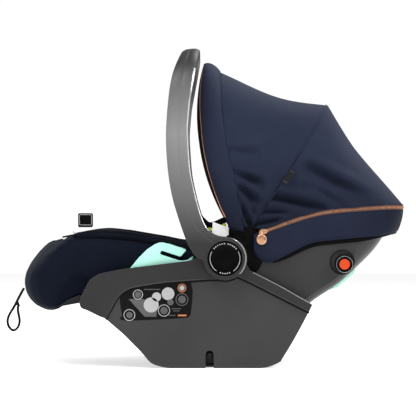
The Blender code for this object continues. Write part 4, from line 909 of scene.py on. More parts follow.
def base():
    dress("base_tub", "base", 0.0012, 2)
    slot_half = (SLOT_X[1] - SLOT_X[0]) / 2
    slot_mid = (SLOT_X[0] + SLOT_X[1]) / 2
    notch = [(SLOT_X[0], 0.0), *arc((slot_mid, SLOT_TOP - slot_half), slot_half, 180, 0, 8), (SLOT_X[1], 0.0)]
    outline = [*smooth(SOLE, 3), *notch, *smooth(SOLE_REAR, 3), *TUB_TOP]
    for side, sign in SIDES:
        skin = plate(f"base_panel_{side}", outline, sign * (TUB_HALF - 0.0008), sign * SKIN_OUT, "base", 0.0016, 3)
        finish_piece(applied(skin), "base")
        band = plate(f"base_band_{side}", BAND, sign * (TUB_HALF + 0.0004), sign * BAND_HALF, "band", 0.0020, 4)
        finish_piece(applied(band), "base", [f"side_band_{side}"])
        # a thin pale bead along the band's top edge: painted highlight
        rib = sweep(f"band_painted_highlight_{side}", [(x, sign * (BAND_HALF - 0.0006), z) for x, z in smooth(BAND_HIGHLIGHT_LINE, 6)],
                    ring_section(0.0010, 8), "edge")
        finish_piece(rib, "base")
        # a rounded lip in the paler base plastic along the band's lower edge: partly a real bead, partly painted
        # highlight
        lip = sweep(f"band_lip_{side}", [(x, sign * (BAND_HALF - 0.0008), z + 0.0004) for x, z in BAND_FOOT],
                    ring_section(0.0012, 8), "base")
        finish_piece(lip, "base")
        # a near-black strip under the band's lower edge: painted shadow
        band_shadow = sweep(f"band_painted_shadow_{side}", [(x, sign * (SKIN_OUT + 0.0002), z - 0.0024) for x, z in BAND_FOOT],
                    flat_section(0.0012, 0.0044), "film")
        finish_piece(band_shadow, "base")
        label(side, sign)
        dress(f"lap_belt_guide_{side}", "mint", 0.0012, 3)
        dress(f"latch_bracket_{side}", "black", 0.0008)
        screw = turned(f"boss_cover_{side}", HUB, [(0.0, 0.1885), (0.020, 0.1885), (0.019, 0.1868), (0.0, 0.1862)],
                       "black", 48, sign)
        finish_piece(screw, "base")
    dress("latch_bar", "black")
    dress("seat_pan", "black", 0.0010)
    pan = plate("leg_rest_tray", [(-0.2830, 0.1130), (-0.2423, 0.1206), (-0.2000, 0.1230), (-0.1600, 0.1230),
                                  (-0.1600, 0.1290), (-0.2423, 0.1345), (-0.2620, 0.1270)], -0.1760, 0.1760, "black",
                0.0012, 2)
    finish_piece(applied(pan), "leg_rest", ["leg_rest_pan"])


# The label's plain marks: rings (x, z, radius, width), spots (x, z, radius) and bars (x, z, length, height).
RINGS = [(-0.1306, 0.1373, 0.0093, 0.0012, "mark"), (-0.0485, 0.1496, 0.0080, 0.0013, "mark_warm"),
         (-0.0485, 0.1281, 0.0119, 0.0016, "mark_dim"), (-0.0821, 0.1076, 0.0112, 0.0012, "mark"),
         (-0.1466, 0.0992, 0.0108, 0.0012, "mark")]
SPOTS = [(-0.1306, 0.1373, 0.0060, "mark_dim"), (-0.0746, 0.1389, 0.0119, "mark"), (-0.0485, 0.1496, 0.0048, "mark"),
         (-0.0485, 0.1281, 0.0072, "mark_dim"), (-0.0821, 0.1076, 0.0068, "mark_dim"),
         (-0.1466, 0.0992, 0.0060, "mark_dim"), (-0.0700, 0.1230, 0.0058, "mark_dim"),
         (-0.1060, 0.1180, 0.0140, "mark"), (-0.0960, 0.1330, 0.0085, "mark")]
BARS = [(-0.1040, 0.1470, 0.0300, 0.0016, "mark_dim"), (-0.0590, 0.1110, 0.0180, 0.0014, "mark_dim"),
        (-0.0590, 0.1070, 0.0120, 0.0014, "mark_dim"), (-0.0480, 0.0985, 0.0160, 0.0030, "mark_warm"),
        (-0.0670, 0.0985, 0.0130, 0.0014, "mark_dim")]
GREY_SHAPE = [(-0.1480, 0.1290), (-0.1180, 0.0960), (-0.0960, 0.0960), (-0.0960, 0.1150), (-0.1200, 0.1290)]


def label(side, sign):
    """Dark label plate with plain rings and bars in place of the printed ones."""
    y0, y1, y2 = (sign * y for y in (SKIN_OUT - 0.0004, SKIN_OUT + 0.0006, SKIN_OUT + 0.0009))
    film = plate(f"label_film_{side}", smooth([*LABEL, LABEL[0]], 3)[:-1], y0, y1, "film", 0.0003, 2)
    finish_piece(applied(film), "base", [f"label_plate_{side}"])

    foot = y1 - sign * 0.0002
    marks = []
    for x, z, radius, width, material in RINGS:
        profile = [(radius - width, foot), (radius, foot), (radius, y2), (radius - width, y2)]
        marks.append(turned("ring", (x, z), profile, material, 40))
    for x, z, radius, material in SPOTS:
        marks.append(prism("spot", arc((x, z), radius, 0, 360, 32)[:-1], *sorted((foot, y2)), material))
    for x, z, long, tall, material in BARS:
        corners = [(x - long / 2, z - tall / 2), (x + long / 2, z - tall / 2),
                   (x + long / 2, z + tall / 2), (x - long / 2, z + tall / 2)]
        marks.append(prism("bar", corners, *sorted((foot, y2)), material))
    marks.append(prism("shape", GREY_SHAPE, *sorted((foot, y2 - sign * 0.0001)), "mark_dim"))
    finish_piece(joined(f"label_print_{side}", marks), "base")


# ---------------------------------------------------------------- padded cover, nose to behind the handle
NOSE_DRAW = ([0.0, 0.070, 0.115, 0.145, 0.165, 0.177], [0.0, 0.002, 0.008, 0.019, 0.036, 0.062])
COVER_OUT = 0.176
NOSE = [(-0.1500, 0.1290), (-0.2516, 0.1290), (-0.2750, 0.1180), (-0.2890, 0.1090), (-0.2987, 0.1052),
        (-0.3136, 0.1038), (-0.3335, 0.1074), (-0.3470, 0.1188), (-0.3565, 0.1380), (-0.3606, 0.1580),
        (-0.3580, 0.1740), (-0.3470, 0.1905), (-0.3257, 0.2160), (-0.3080, 0.2325)]
COVER_RIM = [(-0.2900, 0.2430), (-0.2735, 0.2490), (-0.2400, 0.2505), (-0.2060, 0.2505), (-0.1700, 0.2490),
             (-0.1310, 0.2445), (-0.0900, 0.2380), (-0.0487, 0.2300), (0.0060, 0.2180)]
LINER_RIM = [(-0.2870, 0.2385), (-0.2750, 0.2495), (-0.2535, 0.2595), (-0.2240, 0.2640), (-0.1950, 0.2648),
             (-0.1545, 0.2622), (-0.1070, 0.2540), (-0.0800, 0.2495), (-0.0450, 0.2415), (0.0060, 0.2330)]
SPACE = [(-0.2850, 0.2150), (-0.2650, 0.1850), (-0.2200, 0.1700), (-0.1500, 0.1560), (-0.0800, 0.1450),
         (0.0300, 0.1330), (0.0300, 0.3300), (-0.2850, 0.3300)]
GUIDE_INNER = 0.1766


DRAW_FROM, DRAW_TIP, DRAW_HALF = -0.150, -0.3606, 0.177


def crosswise(name, outline, half, material, squeeze=1.0, steps=13):
    """Sections across Y with the nose drawn back towards the sides."""
    ys = half * np.sin(np.linspace(-math.pi / 2, math.pi / 2, 2 * steps + 1))
    loops = []
    for y in ys:
        drawn = float(np.interp(abs(y) * DRAW_HALF / half, *NOSE_DRAW)) * squeeze
        loop = []
        for x, z in outline:
            share = (max(0.0, DRAW_FROM - x) / (DRAW_FROM - DRAW_TIP)) ** 2
            loop.append((x + drawn * share, y, z))
        loops.append(loop)
    return loft(name, loops, material)


def seat_side(co):
    """Keeps the cover's sides clear of the belt guides and the tub."""
    most = np.where(co[:, 0] > -0.160, GUIDE_INNER, 0.1840)
    co[:, 1] = np.clip(co[:, 1], -most, most)
    return co


def front_cover():
    outline = [(0.0060, 0.1120), *NOSE, *COVER_RIM]
    cover = crosswise("seat_cover_outer", outline, COVER_OUT, "cover")
    cut(cover, prism("space", SPACE, -0.128, 0.128, "cover"))
    puffed(cover, 0.0052, 0.0048, shrink=1.0, limit=seat_side)
    creased(cover, [(-0.3420, 0.1260), (-0.3000, 0.1220), (-0.2560, 0.1400)], 0.0016, 0.0010, facing=(1, 0.4))
    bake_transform(cover)
    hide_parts("leg_rest_cover", "seat_cover")

    inner_outline = [(0.0060, 0.1300), (-0.1500, 0.1500), (-0.2400, 0.1600), (-0.2900, 0.2100), *LINER_RIM]
    liner = crosswise("seat_liner", inner_outline, 0.164, "liner", 0.8)
    cut(liner, prism("space", SPACE, -CHILD_HALF, CHILD_HALF, "liner"))
    puffed(liner, 0.0052, 0.0045)
    for x in (-0.205, -0.150, -0.095, -0.040):
        creased(liner, [(x, -0.10), (x, 0.10)], 0.0035, 0.0035, plane=(0, 1), facing=(2, 0.4))
    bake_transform(liner)

    for side, sign in SIDES:
        line = [(x, sign * (0.1700 - 0.02 * max(0.0, (-0.24 - x) / 0.05)), z - 0.0005 - 0.0045 * (x < -0.27))
                for x, z in COVER_RIM[1:]]
        piping = sweep(f"cover_piping_{side}", smooth(line, 5), ring_section(0.0016), "cover")
        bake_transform(piping)

    tag = plate("rim_tag_body", rounded((-0.2450, 0.2625), (-0.2170, 0.2890), 0.003), -0.1484, -0.1464, "lining",
                0.0004, 2)
    border = frame_of("rim_tag_border", (-0.2428, 0.2664), (-0.2192, 0.2868), 0.0009, -0.1489, -0.1483, "mark")
    border_back = frame_of("rim_tag_border_back", (-0.2428, 0.2664), (-0.2192, 0.2868), 0.0009, -0.1465, -0.1459,
                           "mark")
    finish_piece(applied(tag), "leg_rest", ["rim_tag"])
    finish_piece(border, "leg_rest")
    finish_piece(border_back, "leg_rest")
    tab = plate("copper_tab", [(-0.2548, 0.2539), (-0.2478, 0.2498), (-0.2472, 0.2508), (-0.2542, 0.2549)],
                -0.1660, -0.1590, "copper", 0.0003, 1)
    finish_piece(applied(tab), "leg_rest")


def rounded(low, high, radius, steps=5):
    (x0, z0), (x1, z1) = low, high
    return [*arc((x1 - radius, z0 + radius), radius, -90, 0, steps), *arc((x1 - radius, z1 - radius), radius, 0, 90, steps),
            *arc((x0 + radius, z1 - radius), radius, 90, 180, steps),
            *arc((x0 + radius, z0 + radius), radius, 180, 270, steps)]


def frame_of(name, low, high, width, y0, y1, material):
    """A thin rectangular border with rounded corners."""
    outer = rounded(low, high, 0.0026)
    inner = rounded((low[0] + width, low[1] + width), (high[0] - width, high[1] - width), 0.0018)
    loops = []
    for (ox, oz), (ix, iz) in zip(outer, inner):
        loops.append([(ox, y0, oz), (ix, y0, iz), (ix, y1, iz), (ox, y1, oz)])
    return loft(name, loops, material, closed=True)


# ---------------------------------------------------------------- back shell, pods and belt guide
BACK_KNOTS = [(0.0220, 0.0750), (0.0600, 0.0560), (0.1000, 0.0580), (0.1400, 0.0740), (0.1700, 0.0985),
              (0.2000, 0.1250), (0.2437, 0.1540), (0.2715, 0.1780), (0.3180, 0.2200), (0.3500, 0.2640)]
BACK_RIM = [(0.3500, 0.2860), (0.2898, 0.2850), (0.2326, 0.2820), (0.1900, 0.2750), (0.1300, 0.2600),
            (0.0850, 0.2600), *arc(HOOD_PIVOT, 0.0110, 60, 160, 6), (0.0480, 0.2300), (0.0400, 0.2150),
            (0.0220, 0.1900)]
ROUND_Y = (0.0, 0.140, 0.160, 0.173, SHELL_HALF)
ROUND_DEPTH = (0.0, 0.0, 0.002, 0.006, 0.013)
HEAD_PULL = (0.0, 0.008, 0.020, 0.040, 0.066)
SHELL_WALL = 0.004


def rounded_back(name, half, line, rim, material):
    """Sections across Y of the back, whose underside and head end round into the sides."""
    line = smooth(line, 4)
    outline = [*line, *rim]
    ys = [*np.linspace(0, 0.130, 4), 0.145, 0.155, 0.163, 0.169, 0.174, 0.1775, SHELL_HALF]
    ys = [-y for y in reversed(ys[1:])] + ys
    loops = []
    for y in ys:
        drawn = float(np.interp(abs(y), ROUND_Y, ROUND_DEPTH))
        pull = float(np.interp(abs(y), ROUND_Y, HEAD_PULL))
        moved = inset(outline, 1.0e-3)
        loop = []
        for i, (x, z) in enumerate(outline):
            if i < len(line):
                ease = min(1.0, i / 8, (len(line) - 1 - i) / 8) * drawn / 1.0e-3
                x, z = x + (moved[i][0] - x) * ease, z + (moved[i][1] - z) * ease
            loop.append((x - pull * max(0.0, (x - 0.27) / 0.08), y * half / SHELL_HALF, z))
        loops.append(loop)
    return loft(name, loops, material, sharp_deg=32)


def along_back(t):
    low, high = Vector(BACK_KNOTS[7]), Vector(BACK_KNOTS[8])
    run = (high - low).normalized()
    return low.lerp(high, t), run, Vector((run.y, -run.x))


def lever_block(name, half, out, depth, grow, material):
    a, run, outward = along_back(0.52)
    b = along_back(0.97)[0]
    a, b = a - run * grow, b + run * grow
    lift = out + (0.01 if grow else 0)
    corners = [a + outward * lift, b + outward * lift, b - outward * depth, a - outward * depth]
    return prism(name, [(c.x, c.y) for c in corners], -half - grow, half + grow, material)


DISH_PROFILE = [(0.0192, 0.1772), (0.0222, 0.1774), (0.0229, 0.1800), (0.0229, 0.1812), (0.0235, 0.1812),
                (0.0238, 0.1800), (0.0232, 0.1766), (0.0192, 0.1764)]
KNOB_PROFILE = [(0.0, 0.1600), (0.0163, 0.1600), (0.0164, 0.1950), (0.0160, 0.1974), (0.0153, 0.1988),
                (0.0146, 0.1992), (0.0140, 0.1988), (0.0134, 0.1984), (0.0, 0.1984)]
RING_PROFILE = [(0.0147, 0.1980), (0.0147, 0.1994), (0.0150, 0.1997), (0.0155, 0.1993), (0.0157, 0.1978)]
DISC_PROFILE = [(0.0, 0.1980), (0.0098, 0.1980), (0.0098, 0.1988), (0.0094, 0.1992), (0.0, 0.1994)]


def back_shell():
    shell = rounded_back("back_shell", SHELL_HALF, BACK_KNOTS, BACK_RIM, "shell")
    inner = inset([*BACK_KNOTS, (0.40, 0.42), (0.0, 0.42)], SHELL_WALL)[:len(BACK_KNOTS)]
    inner[0] = (0.0, inner[0][1])
    inner[-1] = (inner[-1][0] + 0.006, inner[-1][1] + 0.03)
    cut(shell, rounded_back("cavity", SHELL_HALF - SHELL_WALL, inner, [(0.36, 0.40), (0.0, 0.40)], "shell"))
    for side, sign in SIDES:
        cut(shell, prism("window", arc(POD_CENTRE, 0.0190, 0, 360, 40)[:-1], *sorted((sign * 0.132, sign * 0.20)),
                         "shell"))
        cut(shell, prism("dish", arc(POD_DISH, 0.0229, 0, 360, 48)[:-1], *sorted((sign * 0.1770, sign * 0.20)),
                         "black"))
    cut(shell, lever_block("window", 0.0480, 0.0, 0.030, 0.0010, "shell"))
    shell.data.set_sharp_from_angle(angle=math.radians(32))
    rounding(shell, 0.0012, 2, 32)
    applied(shell)
    finish_piece(shell, "back", ["rear_shell"])
    dress("release_lever", "black", 0.0008)
    dress("back_foam", "foam")
    dress("seat_foam", "foam")
    dress("shoulder_belt_guide", "mint", 0.0010, 2)

    for side, sign in SIDES:
        dish = turned(f"pod_dish_{side}", POD_DISH, DISH_PROFILE, "black", 64, sign)
        finish_piece(dish, "back")
        dress(f"pod_socket_{side}", "black")
        knob = turned(f"side_pod_{side}", POD_CENTRE, KNOB_PROFILE, "gloss", 64, sign)
        finish_piece(knob, f"pod_{side}", [f"pod_{side}"])
        # raised ring round the knob, in the pale grey that paints its highlight
        ring = turned(f"pod_ring_{side}", POD_CENTRE, RING_PROFILE, "edge", 64, sign)
        finish_piece(ring, f"pod_{side}")
        disc = turned(f"pod_disc_{side}", POD_CENTRE, DISC_PROFILE, "orange", 48, sign)
        finish_piece(disc, f"pod_{side}", [f"pod_badge_{side}"])


# ---------------------------------------------------------------- skirt and zip
ZIP_LINE = [(0.1000, 0.2530), (0.1473, 0.2701), (0.1900, 0.2838), (0.2326, 0.2920), (0.2898, 0.2970),
            (0.3400, 0.3000), (0.3740, 0.3000)]
HEM_LINE = [(0.0900, 0.2060), (0.1140, 0.1955), (0.1500, 0.2115), (0.1932, 0.2310), (0.2326, 0.2375),
            (0.3264, 0.2460), (0.3620, 0.2520)]
ZIP_HALF = 0.1872
SKIRT_HALF = 0.1868


def plan_ring(line, half, rows):
    """A U in plan: a side line taken back along one side, round the head end and forward again."""
    made = []
    turn_x, bend = 0.236, 0.45
    end_x = line[-1][0]
    for i in range(rows + 1):
        u = -1.0 + 2.0 * i / rows
        a = abs(u)
        if a > bend:
            x = line[0][0] + (turn_x - line[0][0]) * (1.0 - a) / (1.0 - bend)
            y = half
        else:
            angle = math.radians(90 * (1 - a / bend))
            x = turn_x + (end_x - turn_x) * math.sqrt(math.sin(angle))
            y = half * math.sqrt(max(0.0, math.cos(angle)))
        made.append((x, math.copysign(y, u) if a > 1e-9 else 0.0, height_on(line, x)))
    return made


def even_ring(line, half, count):
    """plan_ring with evenly spaced points."""
    return resample(plan_ring(line, half, 240), count)


def outward_of(ring):
    """Outward directions in plan along a ring."""
    ring = np.array(ring)
    run = np.gradient(ring, axis=0)
    out = np.stack([run[:, 1], -run[:, 0], np.zeros(len(ring))], axis=1)
    out /= np.linalg.norm(out, axis=1, keepdims=True)
    if out[len(ring) // 2, 0] < 0:
        out = -out
    return out


def skirt():
    count = 150
    zip_low = smooth([(x, z - 0.0036) for x, z in ZIP_LINE], 8)
    hem = smooth(HEM_LINE, 8)
    top = np.array(even_ring(zip_low, SKIRT_HALF, count))
    low = np.array(even_ring(hem, SKIRT_HALF - 0.0012, count))
    for i, (x, z) in enumerate(((0.0850, 0.2180), (0.0900, 0.2070), (0.0975, 0.2000))):
        low[i], low[-1 - i] = (x, low[i][1], z), (x, low[-1 - i][1], z)
    for i, x in enumerate((0.0860, 0.0925, 0.0990)):
        top[i], top[-1 - i] = (x, top[i][1], top[i][2]), (x, top[-1 - i][1], top[-1 - i][2])
    out = outward_of(top)
    rows = []
    profile = [(-0.02, -0.0030), (0.0, 0.0), (0.04, 0.0014), (0.12, 0.0024), (0.28, 0.0034), (0.48, 0.0037),
               (0.68, 0.0034), (0.84, 0.0026), (0.93, 0.0012), (0.975, -0.0012), (0.985, -0.0040), (0.955, -0.0064),
               (0.90, -0.0070), (0.60, -0.0060), (0.30, -0.0052), (0.06, -0.0044)]
    for share, proud in profile:
        rows.append(top + (low - top) * share + out * proud)
    loops = [[tuple(row[i]) for row in rows] for i in range(count)]
    body = loft("skirt_pad", loops, "skirt", sharp_deg=70)
    body.data.shade_smooth()
    co, n = coordinates(body), normals(body)
    wave = 0.0006 * np.sin(co[:, 0] * 61.0 + co[:, 1] * 37.0) * np.clip((0.262 - co[:, 2]) / 0.03, 0, 1)
    set_coordinates(body, co + n * wave[:, None])
    creased(body, [(x, z + 0.0070) for x, z in hem], 0.0011, 0.0006, facing=(1, 0.3), fade=False)
    finish_piece(body, "back", ["skirt"])

    # Painted shadow under the skirt: a black strip along the hem, hanging lowest in the middle of its run
    ring = np.array(even_ring(hem, SHELL_HALF + 0.0022, count))[6:-6]
    drop = 0.0066 * np.clip((ring[:, 0] - 0.115) / 0.030, 0, 1) * np.clip((0.345 - ring[:, 0]) / 0.06, 0, 1)
    drops = np.stack([np.zeros(len(ring)), np.zeros(len(ring)), drop], axis=1)
    under = surface("skirt_hem_painted_shadow", [ring + (0.0, 0.0, 0.0060), ring, ring - drops], "lining", thickness=0.0008)
    finish_piece(under, "back")


def zip_parts():
    count = 420
    centre = np.array(even_ring(smooth(ZIP_LINE, 8), ZIP_HALF, count))
    out = outward_of(centre)
    up = np.array([0.0, 0.0, 1.0])
    rows = []
    for height, proud in ((0.0046, -0.0004), (0.0036, 0.0004), (0.0012, 0.0009), (-0.0012, 0.0009), (-0.0036, 0.0004),
                          (-0.0046, -0.0004)):
        rows.append(centre + out * proud + up * height)
    rows = np.array(rows)[:, ::3]
    tape = surface("zip_tape", rows, "zip_tape", thickness=0.0008)
    finish_piece(tape, "back", ["zipper"])

    points, faces = [], []
    path = np.linalg.norm(np.diff(centre, axis=0), axis=1)
    reach = np.concatenate([[0.0], np.cumsum(path)])
    pitch = 0.0021
    total = int(reach[-1] / pitch)
    for i in range(total):
        at = (i + 0.5) * pitch
        place = np.array([np.interp(at, reach, centre[:, k]) for k in range(3)])
        ahead = np.array([np.interp(min(at + 0.001, reach[-1]), reach, centre[:, k]) for k in range(3)])
        k = min(count - 1, int(np.searchsorted(reach, at)))
        run = ahead - place
        run /= np.linalg.norm(run)
        o = out[k]
        side = np.cross(run, o)
        side /= np.linalg.norm(side)
        lift = 0.00045 if i % 2 else -0.00045
        base = len(points)
        for a, b, c in ((-1, -1, 0), (1, -1, 0), (1, 1, 0), (-1, 1, 0), (-0.6, -0.8, 1), (0.6, -0.8, 1), (0.6, 0.8, 1),
                        (-0.6, 0.8, 1)):
            points.append(place + run * a * 0.00072 + side * (b * 0.0019 + lift) + o * (0.0008 + c * 0.0013))
        faces += [tuple(base + f for f in face) for face in (
            (3, 2, 1, 0), (4, 5, 6, 7), (0, 1, 5, 4), (1, 2, 6, 5), (2, 3, 7, 6), (3, 0, 4, 7))]
    teeth = to_object("zip_teeth", points, faces, "copper", flip_check=True)
    finish_piece(teeth, "back")
    for name, lift, radius, cloth in (("zip_edge_piping", -0.0050, 0.0011, "skirt"),
                                      ("zip_edge_upper", 0.0052, 0.0010, "hood")):
        edge = [tuple(p) for p in (centre + out * 0.0002 + up * lift)[::4]]
        cord = sweep(name, edge, ring_section(radius), cloth, up=(0, 0, 1))
        finish_piece(cord, "back")

    x, z = ZIP_LINE[0]
    body = [(x - 0.0050, z - 0.0030), (x + 0.0010, z - 0.0042), (x + 0.0095, z - 0.0010), (x + 0.0115, z + 0.0035),
            (x + 0.0070, z + 0.0066), (x - 0.0010, z + 0.0052), (x - 0.0046, z + 0.0010), (x - 0.0050, z - 0.0030)]
    slider = plate("zip_slider_body", smooth(body, 3)[:-1], -0.1914, -0.1890, "copper", 0.0006, 2)
    loop = turned("zip_slider_loop", (x + 0.001, z + 0.0005), [(0.0016, -0.1928), (0.0030, -0.1928), (0.0030, -0.1916),
                                                              (0.0016, -0.1916)], "copper", 24)
    slider_all = joined("zip_slider_copper", [slider, loop])
    finish_piece(slider_all, "back", ["zip_slider"])
    disc = turned("disc", (x, z - 0.0130), [(0.0, -0.1934), (0.0086, -0.1934), (0.0092, -0.1932), (0.0096, -0.1928),
                                           (0.0096, -0.1922), (0.0090, -0.1918), (0.0, -0.1918)], "copper", 48)
    rim = turned("rim", (x, z - 0.0130), [(0.0074, -0.1934), (0.0074, -0.1937), (0.0080, -0.1938), (0.0086, -0.1937),
                                         (0.0086, -0.1934)], "copper", 48)
    neck = plate("neck", rounded((x - 0.0022, z - 0.0060), (x + 0.0022, z + 0.0022), 0.0018), -0.1932, -0.1920,
                 "copper", 0.0003, 1)
    pull = joined("zip_pull_disc", [disc, rim, neck])
    pull.data.set_sharp_from_angle(angle=math.radians(35))
    finish_piece(pull, "zip_pull", ["zip_pull"])


# ---------------------------------------------------------------- hood
FRONT_SEAM = ((0.0660, 0.2480), (0.0700, 0.3300), (0.0185, 0.4000), (0.0232, 0.5620))
FRONT_EDGE_LINE = ((0.0480, 0.2520), (-0.0020, 0.3300), (-0.0420, 0.4450), (-0.0080, 0.5770))
MID_SEAM = ((0.0730, 0.2480), (0.1290, 0.3300), (0.1840, 0.4130), (0.2320, 0.4975))
PIPING_FOOT = 0.276
ARCH_POWER = 2.7
ARCH_COUNT = 121
# Folds drawn from the side: start, end, width, depth. The first reach down to the pivot.
FRONT_FOLDS = [((0.040, 0.404), (0.100, 0.399), 0.0095, 0.0081), ((0.044, 0.380), (0.080, 0.378), 0.0080, 0.0054),
               ((0.048, 0.364), (0.106, 0.341), 0.0085, 0.0142), ((0.056, 0.342), (0.096, 0.306), 0.0070, 0.0149),
               ((0.064, 0.298), (0.082, 0.262), 0.0050, 0.0108), ((0.076, 0.318), (0.088, 0.284), 0.0050, 0.0068)]
REAR_FOLDS = [((0.112, 0.322), (0.222, 0.297), 0.0085, 0.0162), ((0.190, 0.372), (0.300, 0.313), 0.0120, 0.0175),
              ((0.198, 0.340), (0.256, 0.305), 0.0080, 0.0081), ((0.084, 0.268), (0.140, 0.280), 0.0050, 0.0095),
              ((0.100, 0.292), (0.160, 0.294), 0.0060, 0.0074)]


def arch(side_line, half, low=0.0, count=ARCH_COUNT):
    """Points over the hood from the left pivot to the right one. side_line is the arch seen from the side."""
    made = []
    for i in range(241):
        a = math.pi * i / 240
        c, s = math.cos(a), max(0.0, math.sin(a))
        height = low + (1 - low) * s ** (2 / ARCH_POWER)
        y = -math.copysign(abs(c) ** (2 / ARCH_POWER), c) * half if abs(c) > 1e-9 else 0.0
        x, z = bezier(*side_line, height)
        made.append((x, y, z))
    return np.array(resample(made, count))


def panel_rows(rib_a, rib_b, shares, sag, centre=(0.09, 0.30), skew=1.0):
    """Rows from one rib to the next, drawn towards the hood's middle by sag, more so higher up."""
    rows = []
    for s in shares:
        row = rib_a + (rib_b - rib_a) * s
        pull = np.stack([centre[0] - row[:, 0], -row[:, 1], centre[1] - row[:, 2]], axis=1)
        pull /= np.maximum(np.linalg.norm(pull, axis=1, keepdims=True), 1e-6)
        high = np.clip((row[:, 2] - 0.27) / 0.15, 0, 1)
        rows.append(row + pull * (sag * math.sin(math.pi * s ** skew) * high)[:, None])
    return rows


def folded(obj, folds):
    """Soft valleys along lines drawn from the side, on both sides of the hood."""
    for start, end, width, depth in folds:
        co = coordinates(obj)
        away, along = distance_to(co[:, (0, 2)], [start, end])
        taper = np.sin(np.clip(along * 0.85 + 0.15, 0, 1) * math.pi) ** 0.6
        side = np.clip((np.abs(co[:, 1]) - 0.10) / 0.06, 0, 1)
        out = np.sign(co[:, 1])
        valley = np.exp(-(away / width) ** 2) - 0.45 * np.exp(-((away - 1.7 * width) / (0.8 * width)) ** 2)
        co[:, 1] -= out * depth * valley * taper * side
        set_coordinates(obj, co)
    return obj


def hood():
    front = arch(FRONT_SEAM, HOOD_HALF, 0.06)
    mid = arch(MID_SEAM, HOOD_HALF, 0.06)
    edge = arch(FRONT_EDGE_LINE, HOOD_HALF - 0.002, 0.02)
    rear_line = [(x, z + 0.0040) for x, z in smooth(ZIP_LINE, 8)]
    rear = np.array(even_ring(rear_line, ZIP_HALF - 0.0012, ARCH_COUNT))

    panel = surface("hood_panel_front", panel_rows(front, mid, np.linspace(0.0, 1.0, 45), 0.0135, skew=1.12), "hood",
                    thickness=0.0014)
    folded(panel, FRONT_FOLDS)
    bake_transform(panel)
    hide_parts("hood_front_panel")

    panel = surface("hood_panel_rear", panel_rows(mid, rear, np.linspace(0.0, 1.0, 49), 0.0085), "hood",
                    thickness=0.0014)
    folded(panel, REAR_FOLDS)
    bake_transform(panel)
    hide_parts("hood_rear_panel")

    visor(edge, arch(FRONT_SEAM, HOOD_HALF, 0.03))
    for name, row, body, half_size, material in (
            ("hood_seam_front", front, "hood_front", 0.0010, "lining"),
            ("hood_seam_mid", mid, "hood_mid", 0.0008, "hood")):
        path = [tuple(p) for p in row + np.array([0.0, 0.0, 0.0002])]
        finish_piece(sweep(name, path, ring_section(half_size, 8), material, up=(1, 0, 0)), body)
    stitches("hood_stitch_front", front + np.array([-0.0030, 0, 0]), "hood_front", "hood", 1.004)
    stitches("hood_stitch_mid", mid + np.array([-0.0022, 0, 0.0022]), "hood_mid", "hood", 1.004)

    dress("hood_mid_bow", "black")
    dress("hood_front_bow", "black")
    for side, _ in SIDES:
        dress(f"hood_pivot_{side}", "black")
    seam_tag()
    for side, sign in SIDES:
        gather(side, sign)


def gather(side, sign):
    """Bunched fabric between the hood's lower end and the skirt, outside the shell, made in the black lining cloth as
    painted shade.
    """
    outline = smooth([(0.0390, 0.2500), (0.0400, 0.2620), (0.0520, 0.2720), (0.0700, 0.2760), (0.0960, 0.2640),
                      (0.1040, 0.2450), (0.1040, 0.2100), (0.0960, 0.1860), (0.0800, 0.1760), (0.0500, 0.1800),
                      (0.0390, 0.2100), (0.0390, 0.2500)], 5)[:-1]
    rows = []
    for share, proud in ((1.0, 0.0), (0.98, 0.0016), (0.90, 0.0026), (0.75, 0.0030), (0.55, 0.0032), (0.35, 0.0033),
                         (0.15, 0.0033), (0.02, 0.0033)):
        rows.append([(HOOD_PIVOT[0] + (x - HOOD_PIVOT[0]) * share, sign * (0.1808 + proud),
                      0.2400 + (z - 0.2400) * share) for x, z in outline])
    piece = surface(f"hood_gather_{side}", rows, "lining", closed_rows=True, thickness=0.0008)
    co = coordinates(piece)
    angle = np.arctan2(co[:, 2] - HOOD_PIVOT[1], co[:, 0] - HOOD_PIVOT[0])
    radius = np.hypot(co[:, 2] - HOOD_PIVOT[1], co[:, 0] - HOOD_PIVOT[0])
    co[:, 1] += sign * 0.0011 * np.sin(angle * 9.0 + radius * 60.0) * np.clip(radius / 0.02, 0, 1)
    set_coordinates(piece, co)
    finish_piece(piece, "back")


def stitches(name, row, body, material, swell):
    """A row of short thread stitches along a rib."""
    middle = np.array([0.09, 0.0, 0.30])
    row = middle + (row - middle) * np.array([1.0, swell, swell])
    reach = np.concatenate([[0.0], np.cumsum(np.linalg.norm(np.diff(row, axis=0), axis=1))])
    points, faces = [], []
    pitch, long = 0.0042, 0.0028
    for i in range(int(reach[-1] / pitch)):
        a, b = i * pitch, i * pitch + long
        p, q = (np.array([np.interp(at, reach, row[:, k]) for k in range(3)]) for at in (a, b))
        run = (q - p) / np.linalg.norm(q - p)
        side = np.cross(run, [1.0, 0.0, 0.0])
        side /= max(np.linalg.norm(side), 1e-9)
        base = len(points)
        across = np.cross(run, side) * 0.00035
        side = side * 0.00035
        for end in (p, q):
            points += [end + across, end + side, end - across, end - side]
        faces += [(base + j, base + (j + 1) % 4, base + 4 + (j + 1) % 4, base + 4 + j) for j in range(4)]
        faces += [(base + 3, base + 2, base + 1, base), (base + 4, base + 5, base + 6, base + 7)]
    finish_piece(to_object(name, points, faces, material), body)


